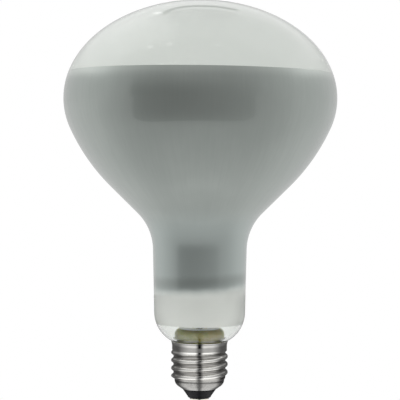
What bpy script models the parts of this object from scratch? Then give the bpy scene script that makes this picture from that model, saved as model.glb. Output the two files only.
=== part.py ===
# Reflector lamp with LED filaments on a 27 mm Edison screw cap, standing on its centre contact.
# Metres, +Z up the lamp's axis, origin at the middle of the contact's outer face.
# Run with: blender --background --python part.py
import math

import bmesh
import bpy
from mathutils import Vector

MM = 0.001

# Fits that many pieces share
SEAT_GAP = 0.3 * MM  # between two pieces that touch
WIRE_CLEARANCE = 0.1 * MM  # round a wire in the glass
POINT_TOLERANCE = 0.001 * MM  # points closer than this are one

# Screw shell, rolled from sheet
CAP_HEIGHT = 26.8 * MM  # contact face to the shell's rim
SHELL_SHEET = 0.35 * MM
RIM_DIAMETER = 26.1 * MM
SKIRT_DIAMETER = 25.2 * MM
SKIRT_HEIGHT = 3.6 * MM  # plain band above the thread
RIM_FLARE_HEIGHT = 2.4 * MM
THREAD_DIAMETER = 26.1 * MM  # over the crests
THREAD_PITCH = 3.629 * MM
THREAD_DEPTH = 1.095 * MM
THREAD_FADE = 1.6 * MM  # height in which the thread grows to full depth
TOP_CREST_DROP = 7.0 * MM  # rim to the first full crest, on the +X side
FOOT_EDGE_HEIGHT = 4.9 * MM  # the shell's lowest edge
FOOT_OPENING_DIAMETER = 16.1 * MM
FOOT_TOP_DIAMETER = 22.9 * MM
FOOT_BEND_RADIUS = 3.6 * MM
FOOT_ANGLE = math.radians(55)  # of the foot's cone, from the axis
SHELL_SEGMENTS = 32
THREAD_STEPS = 6  # points on the outline for each turn of the thread

# Black glass insulator and the contact under it
INSULATOR_DIAMETER = 15.3 * MM  # at the shell's edge
INSULATOR_TIP_DIAMETER = 10.8 * MM
INSULATOR_TIP_ROUND = 0.6 * MM
INSULATOR_TOP_HEIGHT = 8.2 * MM
INSULATOR_BORE_DIAMETER = 3.0 * MM
CONTACT_DIAMETER = 8.8 * MM
CONTACT_THICKNESS = 0.5 * MM
CONTACT_EDGE_ROUND = 0.15 * MM
CONTACT_SHANK_DIAMETER = 2.0 * MM
CONTACT_SHANK_HEIGHT = 3.0 * MM

# Blown glass envelope
BULB_DIAMETER = 125.0 * MM
DOME_HEIGHT = 44.8 * MM  # widest circle to the top
BELLY_RADIUS = 33.2 * MM  # outline just under the widest circle
BELLY_TURN = math.radians(24.4)
BOWL_ANGLE = math.radians(45.3)  # of the bowl's straight stretch, from the axis
BOWL_STRAIGHT = 17.5 * MM
THROAT_RADIUS = 23.9 * MM
NECK_DIAMETER = 41.8 * MM  # at the neck's lower end
NECK_TAPER = math.radians(1.25)
NECK_LENGTH = 29.3 * MM
SHOULDER_RADIUS = 14.9 * MM
SEAL_FILLET_RADIUS = 2.2 * MM
SEAL_TUBE_LENGTH = 0.8 * MM  # plain end inside the cap
GLASS_WALL = 0.9 * MM
GLASS_SEGMENTS = 40

# Cement that holds the glass in the cap
CEMENT_HEIGHT = 5.6 * MM
CEMENT_GAP = 0.25 * MM

# Glass stem: flare, pinch, post and exhaust tube in one
FLARE_DIAMETER = 23.2 * MM
FLARE_HEIGHT = 5.0 * MM
FLARE_BEND_RADIUS = 3.0 * MM
FLARE_WALL = 0.8 * MM
FLARE_SEGMENTS = 24
PINCH_WIDTH = 7.2 * MM
PINCH_DEPTH = 3.3 * MM
PINCH_HEIGHT = 9.0 * MM
STEM_TURN = math.radians(90)  # of the pinch and the driver, from the X axis
PINCH_ROUND = 0.8 * MM
EXHAUST_DIAMETER = 2.8 * MM
EXHAUST_BORE_DIAMETER = 1.4 * MM
EXHAUST_CLEARANCE = 2.1 * MM  # between the tipped-off tube and the driver's tallest piece
EXHAUST_OUTLET_HEIGHT = 5.5 * MM  # above the flare's roof
POST_DIAMETER = 3.0 * MM
POST_BEAD_DIAMETER = 4.8 * MM
POST_BEAD_HEIGHT = 1.4 * MM
POST_TIP_HEIGHT = 2.2 * MM  # above the hub

# Lead wires
LEAD_DIAMETER = 0.7 * MM
LEAD_SPREAD = 2.4 * MM  # from the axis, where they pass the pinch
LEAD_SOCKET_DEPTH = 1.6 * MM
LEAD_BEND_RADIUS = 2.0 * MM
LEAD_ELBOW_DROP = 6.0 * MM  # below the bus arcs, where the leads turn out

# Crown of filaments
CROWN_HEIGHT = 88.0 * MM  # of the bus arcs, above the contact face
BUS_DIAMETER = 18.0 * MM
BUS_WIRE_DIAMETER = 1.0 * MM
BUS_SPAN = math.radians(150)
FILAMENT_COUNT = 8
FILAMENT_LENGTH = 38.0 * MM  # over the metal tabs
FILAMENT_WIDTH = 1.8 * MM
FILAMENT_DEPTH = 1.3 * MM
FILAMENT_TAB_LENGTH = 2.0 * MM
FILAMENT_TAB_WIDTH = 0.8 * MM
FILAMENT_TAB_THICKNESS = 0.25 * MM
HUB_DIAMETER = 10.0 * MM
HUB_THICKNESS = 0.5 * MM
HUB_ARM_WIDTH = 1.4 * MM
HUB_RING_WIDTH = 0.9 * MM

# Driver in the cap
SLEEVE_WALL = 0.3 * MM
SLEEVE_CLEARANCE = 0.15 * MM  # above the cable that leaves under the sleeve
BOARD_HEADROOM = 5.1 * MM  # board to the flare's ceiling
BOARD_EDGE_ROUND = 0.1 * MM
BOARD_THICKNESS = 1.2 * MM
BOARD_OFFSET = 3.6 * MM  # axis to the board's front face
BOARD_CLEARANCE = 1.0 * MM  # above the sleeve's foot
COMPONENT_MARGIN = 0.5 * MM  # between the board's edge and what it carries
CAPACITOR_DIAMETER = 6.4 * MM
CAPACITOR_LENGTH = 11.5 * MM
CAPACITOR_SIDE = 3.8 * MM
CHOKE_DIAMETER = 5.0 * MM
CHOKE_HEIGHT = 4.6 * MM
CHOKE_WAIST_DIAMETER = 3.8 * MM
CHOKE_FLANGE = 0.8 * MM
CHOKE_SIDE = 4.2 * MM
RESISTOR_DIAMETER = 2.2 * MM
RESISTOR_LENGTH = 5.0 * MM
RESISTOR_WAIST_DIAMETER = 1.8 * MM
RESISTOR_LEAD_DIAMETER = 0.6 * MM
RESISTOR_LEAD_LENGTH = 1.0 * MM
CHIP_WIDTH = 3.9 * MM
CHIP_HEIGHT = 4.9 * MM
CHIP_THICKNESS = 1.4 * MM
BRIDGE_WIDTH = 4.0 * MM
BRIDGE_HEIGHT = 4.7 * MM
BRIDGE_THICKNESS = 2.0 * MM
LEG_REACH = 0.9 * MM
LEG_WIDTH = 0.4 * MM
LEG_THICKNESS = 0.25 * MM
LEG_ROOT = 0.05 * MM  # of each leg inside the package
CHIP_LEGS = 4  # on each side
BRIDGE_LEGS = 2
CABLE_DIAMETER = 0.9 * MM
SOLDER_DIAMETER = 1.8 * MM
SOLDER_HEIGHT = 1.0 * MM

WIRE_BEVEL_RESOLUTION = 2


# Outlines are lists of (radius, height) pairs in the half plane beside the axis


def station(radius, height, heading):
    """A point on the glass outline. heading is 0 straight down and grows as the outline turns inwards."""
    return (radius, height, math.cos(heading), -math.sin(heading))


def round_bend(start, heading, end_heading, radius, steps, centre_outside=False):
    """Stations along an arc that leaves start at heading and ends at end_heading."""
    side = 1 if centre_outside else -1
    centre_r = start[0] + side * radius * math.cos(heading)
    centre_z = start[1] - side * radius * math.sin(heading)
    found = []
    for step in range(1, steps + 1):
        h = heading + (end_heading - heading) * step / steps
        found.append(
            station(centre_r - side * radius * math.cos(h), centre_z + side * radius * math.sin(h), h)
        )
    return found


def shell_radii():
    """Radii of the screw shell that other pieces are fitted to."""
    rim_inside = RIM_DIAMETER / 2 - SHELL_SHEET
    skirt_inside = SKIRT_DIAMETER / 2 - SHELL_SHEET
    root_inside = THREAD_DIAMETER / 2 - THREAD_DEPTH - SHELL_SHEET
    return rim_inside, skirt_inside, root_inside


def glass_stations():
    """The envelope's outer outline from the top of the dome to the end of the seal tube."""
    rim_inside, _, _ = shell_radii()
    seat_radius = rim_inside - SEAT_GAP  # the glass passes the rim's inner edge here
    neck_radius = NECK_DIAMETER / 2
    seal_angle = math.acos(math.cos(NECK_TAPER) - (neck_radius - seat_radius) / SHOULDER_RADIUS)
    shoulder_top = CAP_HEIGHT + SHOULDER_RADIUS * (math.sin(seal_angle) - math.sin(NECK_TAPER))
    throat_foot = (
        neck_radius + NECK_LENGTH * math.sin(NECK_TAPER),
        shoulder_top + NECK_LENGTH * math.cos(NECK_TAPER),
    )
    bend_width = math.cos(NECK_TAPER) - math.cos(BOWL_ANGLE)
    bend_height = math.sin(BOWL_ANGLE) - math.sin(NECK_TAPER)
    bowl_foot = (
        throat_foot[0] + THROAT_RADIUS * bend_width,
        throat_foot[1] + THROAT_RADIUS * bend_height,
    )
    bowl_top = (
        bowl_foot[0] + BOWL_STRAIGHT * math.sin(BOWL_ANGLE),
        bowl_foot[1] + BOWL_STRAIGHT * math.cos(BOWL_ANGLE),
    )
    belly_width = BELLY_RADIUS * (1 - math.cos(BELLY_TURN))
    side_radius = (BULB_DIAMETER / 2 - belly_width - bowl_top[0]) / (
        math.cos(BELLY_TURN) - math.cos(BOWL_ANGLE)
    )
    widest = bowl_top[1] + side_radius * (math.sin(BOWL_ANGLE) - math.sin(BELLY_TURN))
    widest += BELLY_RADIUS * math.sin(BELLY_TURN)

    found = []
    dome_steps = 9
    for step in range(dome_steps + 1):
        t = math.pi / 2 * (1 - step / dome_steps)
        normal = Vector((math.cos(t) * DOME_HEIGHT, math.sin(t) * BULB_DIAMETER / 2)).normalized()
        found.append(
            (
                BULB_DIAMETER / 2 * math.cos(t),
                widest + DOME_HEIGHT * math.sin(t),
                normal.x,
                normal.y,
            )
        )
    found[0] = (0.0, widest + DOME_HEIGHT, 0.0, 1.0)
    found += round_bend(found[-1], 0.0, BELLY_TURN, BELLY_RADIUS, 4)
    found += round_bend(found[-1], BELLY_TURN, BOWL_ANGLE, side_radius, 4)
    found.append(station(bowl_foot[0], bowl_foot[1], BOWL_ANGLE))
    found += round_bend(found[-1], BOWL_ANGLE, NECK_TAPER, THROAT_RADIUS, 5, centre_outside=True)
    found.append(station(neck_radius, shoulder_top, NECK_TAPER))
    found += round_bend(found[-1], NECK_TAPER, seal_angle, SHOULDER_RADIUS, 5)
    found += round_bend(found[-1], seal_angle, 0.0, SEAL_FILLET_RADIUS, 3, centre_outside=True)
    tube_radius, tube_top = found[-1][:2]
    found.append(station(tube_radius, tube_top - SEAL_TUBE_LENGTH, 0.0))
    return found


def seal_tube():
    """Inner radius and lower end of the envelope's seal tube, and its outer radius."""
    outer_radius, end_height = glass_stations()[-1][:2]
    return outer_radius - GLASS_WALL, end_height, outer_radius


def shoulder_inside(radius):
    """Height of the envelope's inner wall over the shoulder at a radius."""
    rim_inside, _, _ = shell_radii()
    neck_radius = NECK_DIAMETER / 2
    seal_angle = math.acos(
        math.cos(NECK_TAPER) - (neck_radius - rim_inside + SEAT_GAP) / SHOULDER_RADIUS
    )
    centre_r = neck_radius - SHOULDER_RADIUS * math.cos(NECK_TAPER)
    centre_z = CAP_HEIGHT + SHOULDER_RADIUS * math.sin(seal_angle)
    inner = SHOULDER_RADIUS - GLASS_WALL
    return centre_z - math.sqrt(inner**2 - (radius - centre_r) ** 2)


# Making and finishing objects


def clear_scene():
    for obj in list(bpy.data.objects):
        bpy.data.objects.remove(obj)


def finish_material(name, colour, roughness, metallic=0.0, transmission=0.0):
    material = bpy.data.materials.new(name)
    material.use_nodes = True
    shader = material.node_tree.nodes["Principled BSDF"]
    shader.inputs["Base Color"].default_value = (*colour, 1.0)
    shader.inputs["Roughness"].default_value = roughness
    shader.inputs["Metallic"].default_value = metallic
    shader.inputs["Transmission Weight"].default_value = transmission
    return material


def make_materials():
    return {
        "glass": finish_material("frosted_glass", (0.82, 0.85, 0.82), 0.15, transmission=0.6),
        "stem": finish_material("stem_glass", (0.9, 0.93, 0.9), 0.05, transmission=0.9),
        "nickel": finish_material("nickel_plate", (0.66, 0.65, 0.61), 0.22, metallic=1.0),
        "black": finish_material("black_glass", (0.012, 0.012, 0.014), 0.18),
        "brass": finish_material("contact_brass", (0.72, 0.62, 0.42), 0.3, metallic=1.0),
        "cement": finish_material("capping_cement", (0.45, 0.42, 0.24), 0.85),
        "wire": finish_material("nickel_wire", (0.62, 0.6, 0.56), 0.35, metallic=1.0),
        "solder": finish_material("tin_solder", (0.6, 0.61, 0.62), 0.4, metallic=1.0),
        "phosphor": finish_material("filament_phosphor", (0.85, 0.66, 0.16), 0.6),
        "board": finish_material("circuit_board", (0.09, 0.24, 0.12), 0.5),
        "sleeve": finish_material("amber_film", (0.42, 0.38, 0.16), 0.3),
        "can": finish_material("capacitor_can", (0.05, 0.06, 0.07), 0.35),
        "ferrite": finish_material("ferrite", (0.07, 0.065, 0.06), 0.7),
        "resin": finish_material("black_resin", (0.03, 0.03, 0.032), 0.5),
        "resistor": finish_material("resistor_coat", (0.3, 0.42, 0.45), 0.5),
        "insulation": finish_material("wire_insulation", (0.75, 0.74, 0.7), 0.5),
    }


def add_object(name, data, material):
    obj = bpy.data.objects.new(name, data)
    bpy.context.scene.collection.objects.link(obj)
    if material:
        data.materials.append(material)
    return obj


def turn_with_stem(kept):
    """Hang every object that isn't in kept on an empty that is turned about the lamp's axis."""
    frame = bpy.data.objects.new("stem_frame", None)
    bpy.context.scene.collection.objects.link(frame)
    frame.rotation_euler = (0, 0, STEM_TURN)
    for obj in bpy.data.objects:
        if obj != frame and obj not in kept:
            obj.parent = frame


def mesh_object(name, bm, material, sharp_angle=35):
    bmesh.ops.recalc_face_normals(bm, faces=bm.faces)
    mesh = bpy.data.meshes.new(name)
    bm.to_mesh(mesh)
    bm.free()
    mesh.shade_smooth()
    mesh.set_sharp_from_angle(angle=math.radians(sharp_angle))
    return add_object(name, mesh, material)


def lathe(name, outline, segments, material):
    """A turned solid. An outline whose ends lie on the axis stays open there, and any other is closed."""
    bm = bmesh.new()
    corners = [bm.verts.new((radius, 0.0, height)) for radius, height in outline]
    sides = [bm.edges.new(pair) for pair in zip(corners, corners[1:])]
    if outline[0][0] > 0 or outline[-1][0] > 0:
        sides.append(bm.edges.new((corners[-1], corners[0])))
    bmesh.ops.spin(
        bm,
        geom=corners + sides,
        cent=(0, 0, 0),
        axis=(0, 0, 1),
        angle=math.tau,
        steps=segments,
        use_merge=True,
    )
    bmesh.ops.remove_doubles(bm, verts=bm.verts, dist=1e-7)
    return mesh_object(name, bm, material)


def box(name, low, high, material, bevel=0.0):
    bm = bmesh.new()
    bmesh.ops.create_cube(bm, size=1)
    size = [b - a for a, b in zip(low, high)]
    middle = [(a + b) / 2 for a, b in zip(low, high)]
    bmesh.ops.scale(bm, vec=size, verts=bm.verts)
    bmesh.ops.translate(bm, vec=middle, verts=bm.verts)
    if bevel:
        bmesh.ops.bevel(
            bm, geom=list(bm.edges), offset=bevel, segments=1, profile=0.5, affect="EDGES", material=-1
        )
    return mesh_object(name, bm, material, sharp_angle=20)


def extruded(name, outline, low, high, material):
    """A solid of the flat outline, a list of (x, z) pairs, from y = low to y = high."""
    bm = bmesh.new()
    face = bm.faces.new([bm.verts.new((x, low, z)) for x, z in outline])
    grown = bmesh.ops.extrude_face_region(bm, geom=[face])
    moved = [item for item in grown["geom"] if isinstance(item, bmesh.types.BMVert)]
    bmesh.ops.translate(bm, vec=(0, high - low, 0), verts=moved)
    return mesh_object(name, bm, material, sharp_angle=20)


def upright_cylinder(name, x, y, low, high, diameter, segments, material=None, depth=None):
    """A cylinder along Z. With depth its section is an ellipse, diameter wide along X and depth along Y."""
    bm = bmesh.new()
    bmesh.ops.create_cone(
        bm,
        cap_ends=True,
        segments=segments,
        radius1=diameter / 2,
        radius2=diameter / 2,
        depth=high - low,
    )
    bmesh.ops.scale(bm, vec=(1, (depth or diameter) / diameter, 1), verts=bm.verts)
    bmesh.ops.translate(bm, vec=(x, y, (low + high) / 2), verts=bm.verts)
    return mesh_object(name, bm, material)


def as_helper(obj):
    obj.hide_render = True
    obj.display_type = "WIRE"
    return obj


def combine(obj, helper, operation):
    modifier = obj.modifiers.new(helper.name, "BOOLEAN")
    modifier.operation = operation
    modifier.object = as_helper(helper)


def rounded_path(corners, bend_radius, steps=3):
    """Points along straight runs between the corners, with each inner corner rounded."""
    corners = [Vector(corner) for corner in corners]
    path = [corners[0]]
    for before, corner, after in zip(corners, corners[1:], corners[2:]):
        back, ahead = before - corner, after - corner
        turn = back.angle(ahead)
        trim = min(bend_radius / math.tan(turn / 2), 0.45 * back.length, 0.45 * ahead.length)
        start, end = corner + back.normalized() * trim, corner + ahead.normalized() * trim
        for step in range(steps + 1):
            t = step / steps
            path.append(start * (1 - t) ** 2 + corner * 2 * t * (1 - t) + end * t**2)
    path.append(corners[-1])
    return path


def wire(name, path, diameter, material):
    curve = bpy.data.curves.new(name, "CURVE")
    curve.dimensions = "3D"
    curve.bevel_depth = diameter / 2
    curve.bevel_resolution = WIRE_BEVEL_RESOLUTION
    curve.use_fill_caps = True
    spline = curve.splines.new("POLY")
    spline.points.add(len(path) - 1)
    for point, place in zip(spline.points, path):
        point.co = (*place, 1.0)
    return add_object(name, curve, material)


# The cap


def thread_root_radius():
    return THREAD_DIAMETER / 2 - THREAD_DEPTH


def thread_arc_radius():
    """Crest and root are equal arcs that meet halfway up the flank."""
    quarter, half_depth = THREAD_PITCH / 4, THREAD_DEPTH / 2
    return (quarter**2 + half_depth**2) / (2 * half_depth)


def thread_radius(from_crest):
    """Radius of the rolled thread at a height from_crest above or below a crest."""
    arc = thread_arc_radius()
    from_crest = abs((from_crest + THREAD_PITCH / 2) % THREAD_PITCH - THREAD_PITCH / 2)
    if from_crest <= THREAD_PITCH / 4:
        return THREAD_DIAMETER / 2 - arc + math.sqrt(arc**2 - from_crest**2)
    from_root = THREAD_PITCH / 2 - from_crest
    return thread_root_radius() + arc - math.sqrt(arc**2 - from_root**2)


def foot_outline():
    """The shell's outer outline from its lowest edge up to the bottom of the thread."""
    cone_top_radius = FOOT_TOP_DIAMETER / 2 - FOOT_BEND_RADIUS * (1 - math.cos(FOOT_ANGLE))
    cone_top = FOOT_EDGE_HEIGHT + (cone_top_radius - FOOT_OPENING_DIAMETER / 2) / math.tan(FOOT_ANGLE)
    bend_centre = (
        FOOT_TOP_DIAMETER / 2 - FOOT_BEND_RADIUS,
        cone_top + FOOT_BEND_RADIUS * math.sin(FOOT_ANGLE),
    )
    bend_steps = 4
    outline = [(FOOT_OPENING_DIAMETER / 2, FOOT_EDGE_HEIGHT)]
    for step in range(bend_steps + 1):
        angle = FOOT_ANGLE * (1 - step / bend_steps)
        outline.append(
            (
                bend_centre[0] + FOOT_BEND_RADIUS * math.cos(angle),
                bend_centre[1] - FOOT_BEND_RADIUS * math.sin(angle),
            )
        )
    return outline


def foot_radius(height):
    """The foot's outer radius at a height."""
    outline = foot_outline()
    for (r0, z0), (r1, z1) in zip(outline, outline[1:]):
        if height <= z1:
            return r0 + (r1 - r0) * max(height - z0, 0.0) / (z1 - z0)
    return outline[-1][0]


def skirt_outline():
    """The plain band above the thread, with the rim flared out at the top."""
    thread_top = CAP_HEIGHT - SKIRT_HEIGHT
    flare_foot = CAP_HEIGHT - RIM_FLARE_HEIGHT
    outline = [(SKIRT_DIAMETER / 2, thread_top)]
    flare_steps = 3
    for step in range(flare_steps + 1):
        share = step / flare_steps
        radius = SKIRT_DIAMETER / 2 + (RIM_DIAMETER - SKIRT_DIAMETER) / 2 * share**2
        outline.append((radius, flare_foot + RIM_FLARE_HEIGHT * share))
    return outline


def smooth(share):
    share = min(max(share, 0.0), 1.0)
    return share * share * (3 - 2 * share)


def threaded_radius(angle, height, bottom, top):
    """Radius of the shell between the foot and the skirt, where the thread fades out at both ends."""
    crest = CAP_HEIGHT - TOP_CREST_DROP + THREAD_PITCH * angle / math.tau
    share = (height - bottom) / (top - bottom)
    plain = FOOT_TOP_DIAMETER / 2 * (1 - share) + SKIRT_DIAMETER / 2 * share
    depth = smooth((height - bottom) / THREAD_FADE) * smooth((top - height) / THREAD_FADE)
    return plain + (thread_radius(height - crest) - plain) * depth


def shell_column(angle):
    """The shell's outer outline at an angle, bottom to top. Its points climb with the thread."""
    foot, skirt = foot_outline(), skirt_outline()
    bottom, top = foot[-1][1], skirt[0][1]
    marks = [THREAD_PITCH * step / THREAD_STEPS for step in range(THREAD_STEPS)]
    crest = CAP_HEIGHT - TOP_CREST_DROP + THREAD_PITCH * angle / math.tau
    lowest = math.floor((bottom - (CAP_HEIGHT - TOP_CREST_DROP)) / THREAD_PITCH) - 1
    highest = math.ceil((top - (CAP_HEIGHT - TOP_CREST_DROP)) / THREAD_PITCH)
    column = list(foot)
    for turn in range(lowest, highest + 1):
        for mark in marks:
            height = min(max(crest + turn * THREAD_PITCH + mark, bottom), top)
            column.append((threaded_radius(angle, height, bottom, top), height))
    return column + list(skirt)


def sheet_inside(column):
    """The inner face of a sheet whose outer face is the column, bottom to top."""
    inside = []
    for row, (r, z) in enumerate(column):
        below = next((p for p in reversed(column[:row]) if math.dist(p, (r, z)) > POINT_TOLERANCE), (r, z))
        above = next((p for p in column[row + 1 :] if math.dist(p, (r, z)) > POINT_TOLERANCE), (r, z))
        along = Vector((above[0] - below[0], above[1] - below[1])).normalized()
        inside.append((r - SHELL_SHEET * along.y, z + SHELL_SHEET * along.x))
    return inside


def make_screw_shell(materials):
    """A sheet metal tube with the thread rolled into it, right-handed, so the crests climb with the angle."""
    bm = bmesh.new()
    outer, inner = [], []
    for segment in range(SHELL_SEGMENTS + 1):
        angle = math.tau * segment / SHELL_SEGMENTS
        cos, sin = math.cos(angle), math.sin(angle)
        column = shell_column(angle)
        outer.append([bm.verts.new((r * cos, r * sin, z)) for r, z in column])
        inner.append([bm.verts.new((r * cos, r * sin, z)) for r, z in sheet_inside(column)])
    for here, there in ((outer, outer[1:]), (inner, inner[1:])):
        for left, right in zip(here, there):
            for row in range(len(left) - 1):
                bm.faces.new((left[row], right[row], right[row + 1], left[row + 1]))
    for row in (0, -1):
        for segment in range(SHELL_SEGMENTS):
            bm.faces.new(
                (
                    outer[segment][row],
                    outer[segment + 1][row],
                    inner[segment + 1][row],
                    inner[segment][row],
                )
            )
    bmesh.ops.remove_doubles(bm, verts=bm.verts, dist=1e-6)
    return mesh_object("screw_shell", bm, materials["nickel"], sharp_angle=50)


def insulator_foot_height():
    return CONTACT_THICKNESS + SEAT_GAP


def make_insulator(materials):
    """Black glass fused into the shell's foot, a cone outside it, with a bore for the live wire."""
    bottom = insulator_foot_height()
    bore = INSULATOR_BORE_DIAMETER / 2
    tip = INSULATOR_TIP_DIAMETER / 2
    outline = [(bore, bottom)]
    round_steps = 3
    for step in range(round_steps + 1):
        angle = math.pi / 2 * step / round_steps
        outline.append(
            (
                tip - INSULATOR_TIP_ROUND * (1 - math.sin(angle)),
                bottom + INSULATOR_TIP_ROUND * (1 - math.cos(angle)),
            )
        )
    outline.append((INSULATOR_DIAMETER / 2, FOOT_EDGE_HEIGHT - SEAT_GAP))
    inside_steps = 5
    for step in range(inside_steps + 1):
        height = FOOT_EDGE_HEIGHT + (INSULATOR_TOP_HEIGHT - FOOT_EDGE_HEIGHT) * step / inside_steps
        outline.append((foot_radius(height) - (SHELL_SHEET + SEAT_GAP) / math.cos(FOOT_ANGLE), height))
    outline.append((bore, INSULATOR_TOP_HEIGHT))
    return lathe("cap_insulator", outline, SHELL_SEGMENTS, materials["black"])


def make_contact(materials):
    """Stamped disc with a hollow shank that grips the live wire."""
    radius, edge = CONTACT_DIAMETER / 2, CONTACT_EDGE_ROUND
    shank = CONTACT_SHANK_DIAMETER / 2
    outline = [
        (0.0, 0.0),
        (radius - edge, 0.0),
        (radius, edge),
        (radius, CONTACT_THICKNESS),
        (shank, CONTACT_THICKNESS),
        (shank, CONTACT_SHANK_HEIGHT),
        (0.0, CONTACT_SHANK_HEIGHT),
    ]
    return lathe("centre_contact", outline, 24, materials["brass"])


def cement_levels():
    """Top of the cement's body and its lower end."""
    _, tube_end, _ = seal_tube()
    top = tube_end - SEAT_GAP
    return top, top - CEMENT_HEIGHT


def sleeve_radius():
    """The driver's sleeve slips through the glass seal tube."""
    return seal_tube()[0] - SEAT_GAP


def make_cement(materials):
    """Ring under the glass seal tube, with a lip that fills the joint between glass and skirt."""
    _, skirt_inside, root_inside = shell_radii()
    _, tube_end, tube_outside = seal_tube()
    top, bottom = cement_levels()
    bore = sleeve_radius() + CEMENT_GAP
    body = root_inside - CEMENT_GAP
    flange = skirt_inside - CEMENT_GAP
    lip_bore = tube_outside + CEMENT_GAP
    flange_foot = max(CAP_HEIGHT - SKIRT_HEIGHT, bottom)
    outline = [
        (bore, bottom),
        (body, bottom),
        (body, flange_foot),
        (flange, flange_foot),
        (flange, tube_end + SEAL_TUBE_LENGTH),
        (lip_bore, tube_end + SEAL_TUBE_LENGTH),
        (lip_bore, top),
        (bore, top),
    ]
    return lathe("capping_cement", outline, SHELL_SEGMENTS, materials["cement"])


# The glass


def make_envelope(materials):
    """Blown bulb, open only at the end of its seal tube."""
    stations = glass_stations()
    outer = [(r, z) for r, z, _, _ in stations]
    inner = [(r - nr * GLASS_WALL, z - nz * GLASS_WALL) for r, z, nr, nz in stations]
    return lathe("glass_envelope", outer + inner[::-1], GLASS_SEGMENTS, materials["glass"])


def flare_levels():
    """Heights of the flare's rim, the underside of its roof, and the roof."""
    rim = shoulder_inside(FLARE_DIAMETER / 2) + SEAT_GAP
    roof = rim + FLARE_HEIGHT
    return rim, roof - FLARE_WALL, roof


def crown_levels():
    """Heights of the filaments' lower ends, their upper ends and the hub's underside."""
    low = CROWN_HEIGHT + BUS_WIRE_DIAMETER / 2 + SEAT_GAP
    slope_width = BUS_DIAMETER / 2 - filament_top_radius()
    high = low + math.sqrt(FILAMENT_LENGTH**2 - slope_width**2)
    return low, high, high + SEAT_GAP + FILAMENT_TAB_THICKNESS


def filament_top_radius():
    return HUB_DIAMETER / 2 - FILAMENT_TAB_WIDTH / 2


def exhaust_foot():
    """The exhaust tube is tipped off above the driver."""
    _, _, capacitor_top = capacitor_place()
    _, choke_top = choke_levels()
    return max(capacitor_top, choke_top) + EXHAUST_CLEARANCE


def make_stem(materials):
    """Flare sealed to the bulb's shoulder, pinch round the leads, exhaust tube below and post above."""
    rim, ceiling, roof = flare_levels()
    tip = exhaust_foot()
    flare = FLARE_DIAMETER / 2
    exhaust = EXHAUST_DIAMETER / 2
    post = POST_DIAMETER / 2
    bead = POST_BEAD_DIAMETER / 2
    _, _, hub = crown_levels()
    bend_steps = 4
    outer_bend, inner_bend = [], []
    inner_radius = max(FLARE_BEND_RADIUS - FLARE_WALL, 0.2 * FLARE_BEND_RADIUS)
    for step in range(bend_steps + 1):
        angle = math.pi / 2 * step / bend_steps
        cos, sin = math.cos(angle), math.sin(angle)
        outer_bend.append((flare - FLARE_BEND_RADIUS * (1 - cos), roof - FLARE_BEND_RADIUS * (1 - sin)))
        inner_bend.append(
            (flare - FLARE_WALL - inner_radius * (1 - cos), ceiling - inner_radius * (1 - sin))
        )
    outline = [(0.0, tip), (exhaust * 0.7, tip), (exhaust, tip + exhaust), (exhaust, ceiling)]
    outline += inner_bend[::-1] + [(flare - FLARE_WALL, rim), (flare, rim)] + outer_bend
    outline += [(post, roof), (post, hub - SEAT_GAP - POST_BEAD_HEIGHT)]
    outline += [(bead, hub - SEAT_GAP - POST_BEAD_HEIGHT * 0.6), (bead, hub - SEAT_GAP)]
    outline += [(post, hub - SEAT_GAP), (post, hub + HUB_THICKNESS + POST_TIP_HEIGHT - post)]
    outline += [(post * 0.7, hub + HUB_THICKNESS + POST_TIP_HEIGHT - 0.3 * post)]
    outline += [(0.0, hub + HUB_THICKNESS + POST_TIP_HEIGHT)]
    stem = lathe("stem_glass", outline, FLARE_SEGMENTS, materials["stem"])
    combine(stem, pinch_block(ceiling, roof), "UNION")
    bore_top = roof + EXHAUST_OUTLET_HEIGHT + EXHAUST_BORE_DIAMETER / 2
    bore_foot = tip + EXHAUST_DIAMETER / 2
    combine(
        stem,
        upright_cylinder("exhaust_bore", 0, 0, bore_foot, bore_top, EXHAUST_BORE_DIAMETER, 12),
        "DIFFERENCE",
    )
    combine(stem, exhaust_outlet(roof), "DIFFERENCE")
    socket = LEAD_DIAMETER + 2 * WIRE_CLEARANCE
    pinch_top = roof + PINCH_HEIGHT
    for side, word in ((1, "positive"), (-1, "negative")):
        x = side * LEAD_SPREAD
        above = upright_cylinder(
            f"upper_socket_{word}",
            x,
            0,
            pinch_top - LEAD_SOCKET_DEPTH,
            pinch_top + LEAD_SOCKET_DEPTH,
            socket,
            12,
        )
        below = upright_cylinder(
            f"lower_socket_{word}",
            x,
            0,
            ceiling - LEAD_SOCKET_DEPTH,
            ceiling + LEAD_SOCKET_DEPTH,
            socket,
            12,
        )
        combine(stem, above, "DIFFERENCE")
        combine(stem, below, "DIFFERENCE")
    return stem


def pinch_block(ceiling, roof):
    """The flattened part of the stem, with its top edge rounded off."""
    bm = bmesh.new()
    bottom, top = (ceiling + roof) / 2, roof + PINCH_HEIGHT
    bmesh.ops.create_cone(
        bm,
        cap_ends=True,
        segments=24,
        radius1=PINCH_WIDTH / 2,
        radius2=PINCH_WIDTH / 2,
        depth=top - bottom,
    )
    bmesh.ops.scale(bm, vec=(1, PINCH_DEPTH / PINCH_WIDTH, 1), verts=bm.verts)
    bmesh.ops.translate(bm, vec=(0, 0, (top + bottom) / 2), verts=bm.verts)
    edge = [e for e in bm.edges if all(v.co.z > (bottom + top) / 2 for v in e.verts)]
    bmesh.ops.bevel(
        bm,
        geom=edge,
        offset=min(PINCH_ROUND, PINCH_DEPTH / 4),
        segments=2,
        profile=0.5,
        affect="EDGES",
        material=-1,
    )
    return mesh_object("pinch_block", bm, None)


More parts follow.
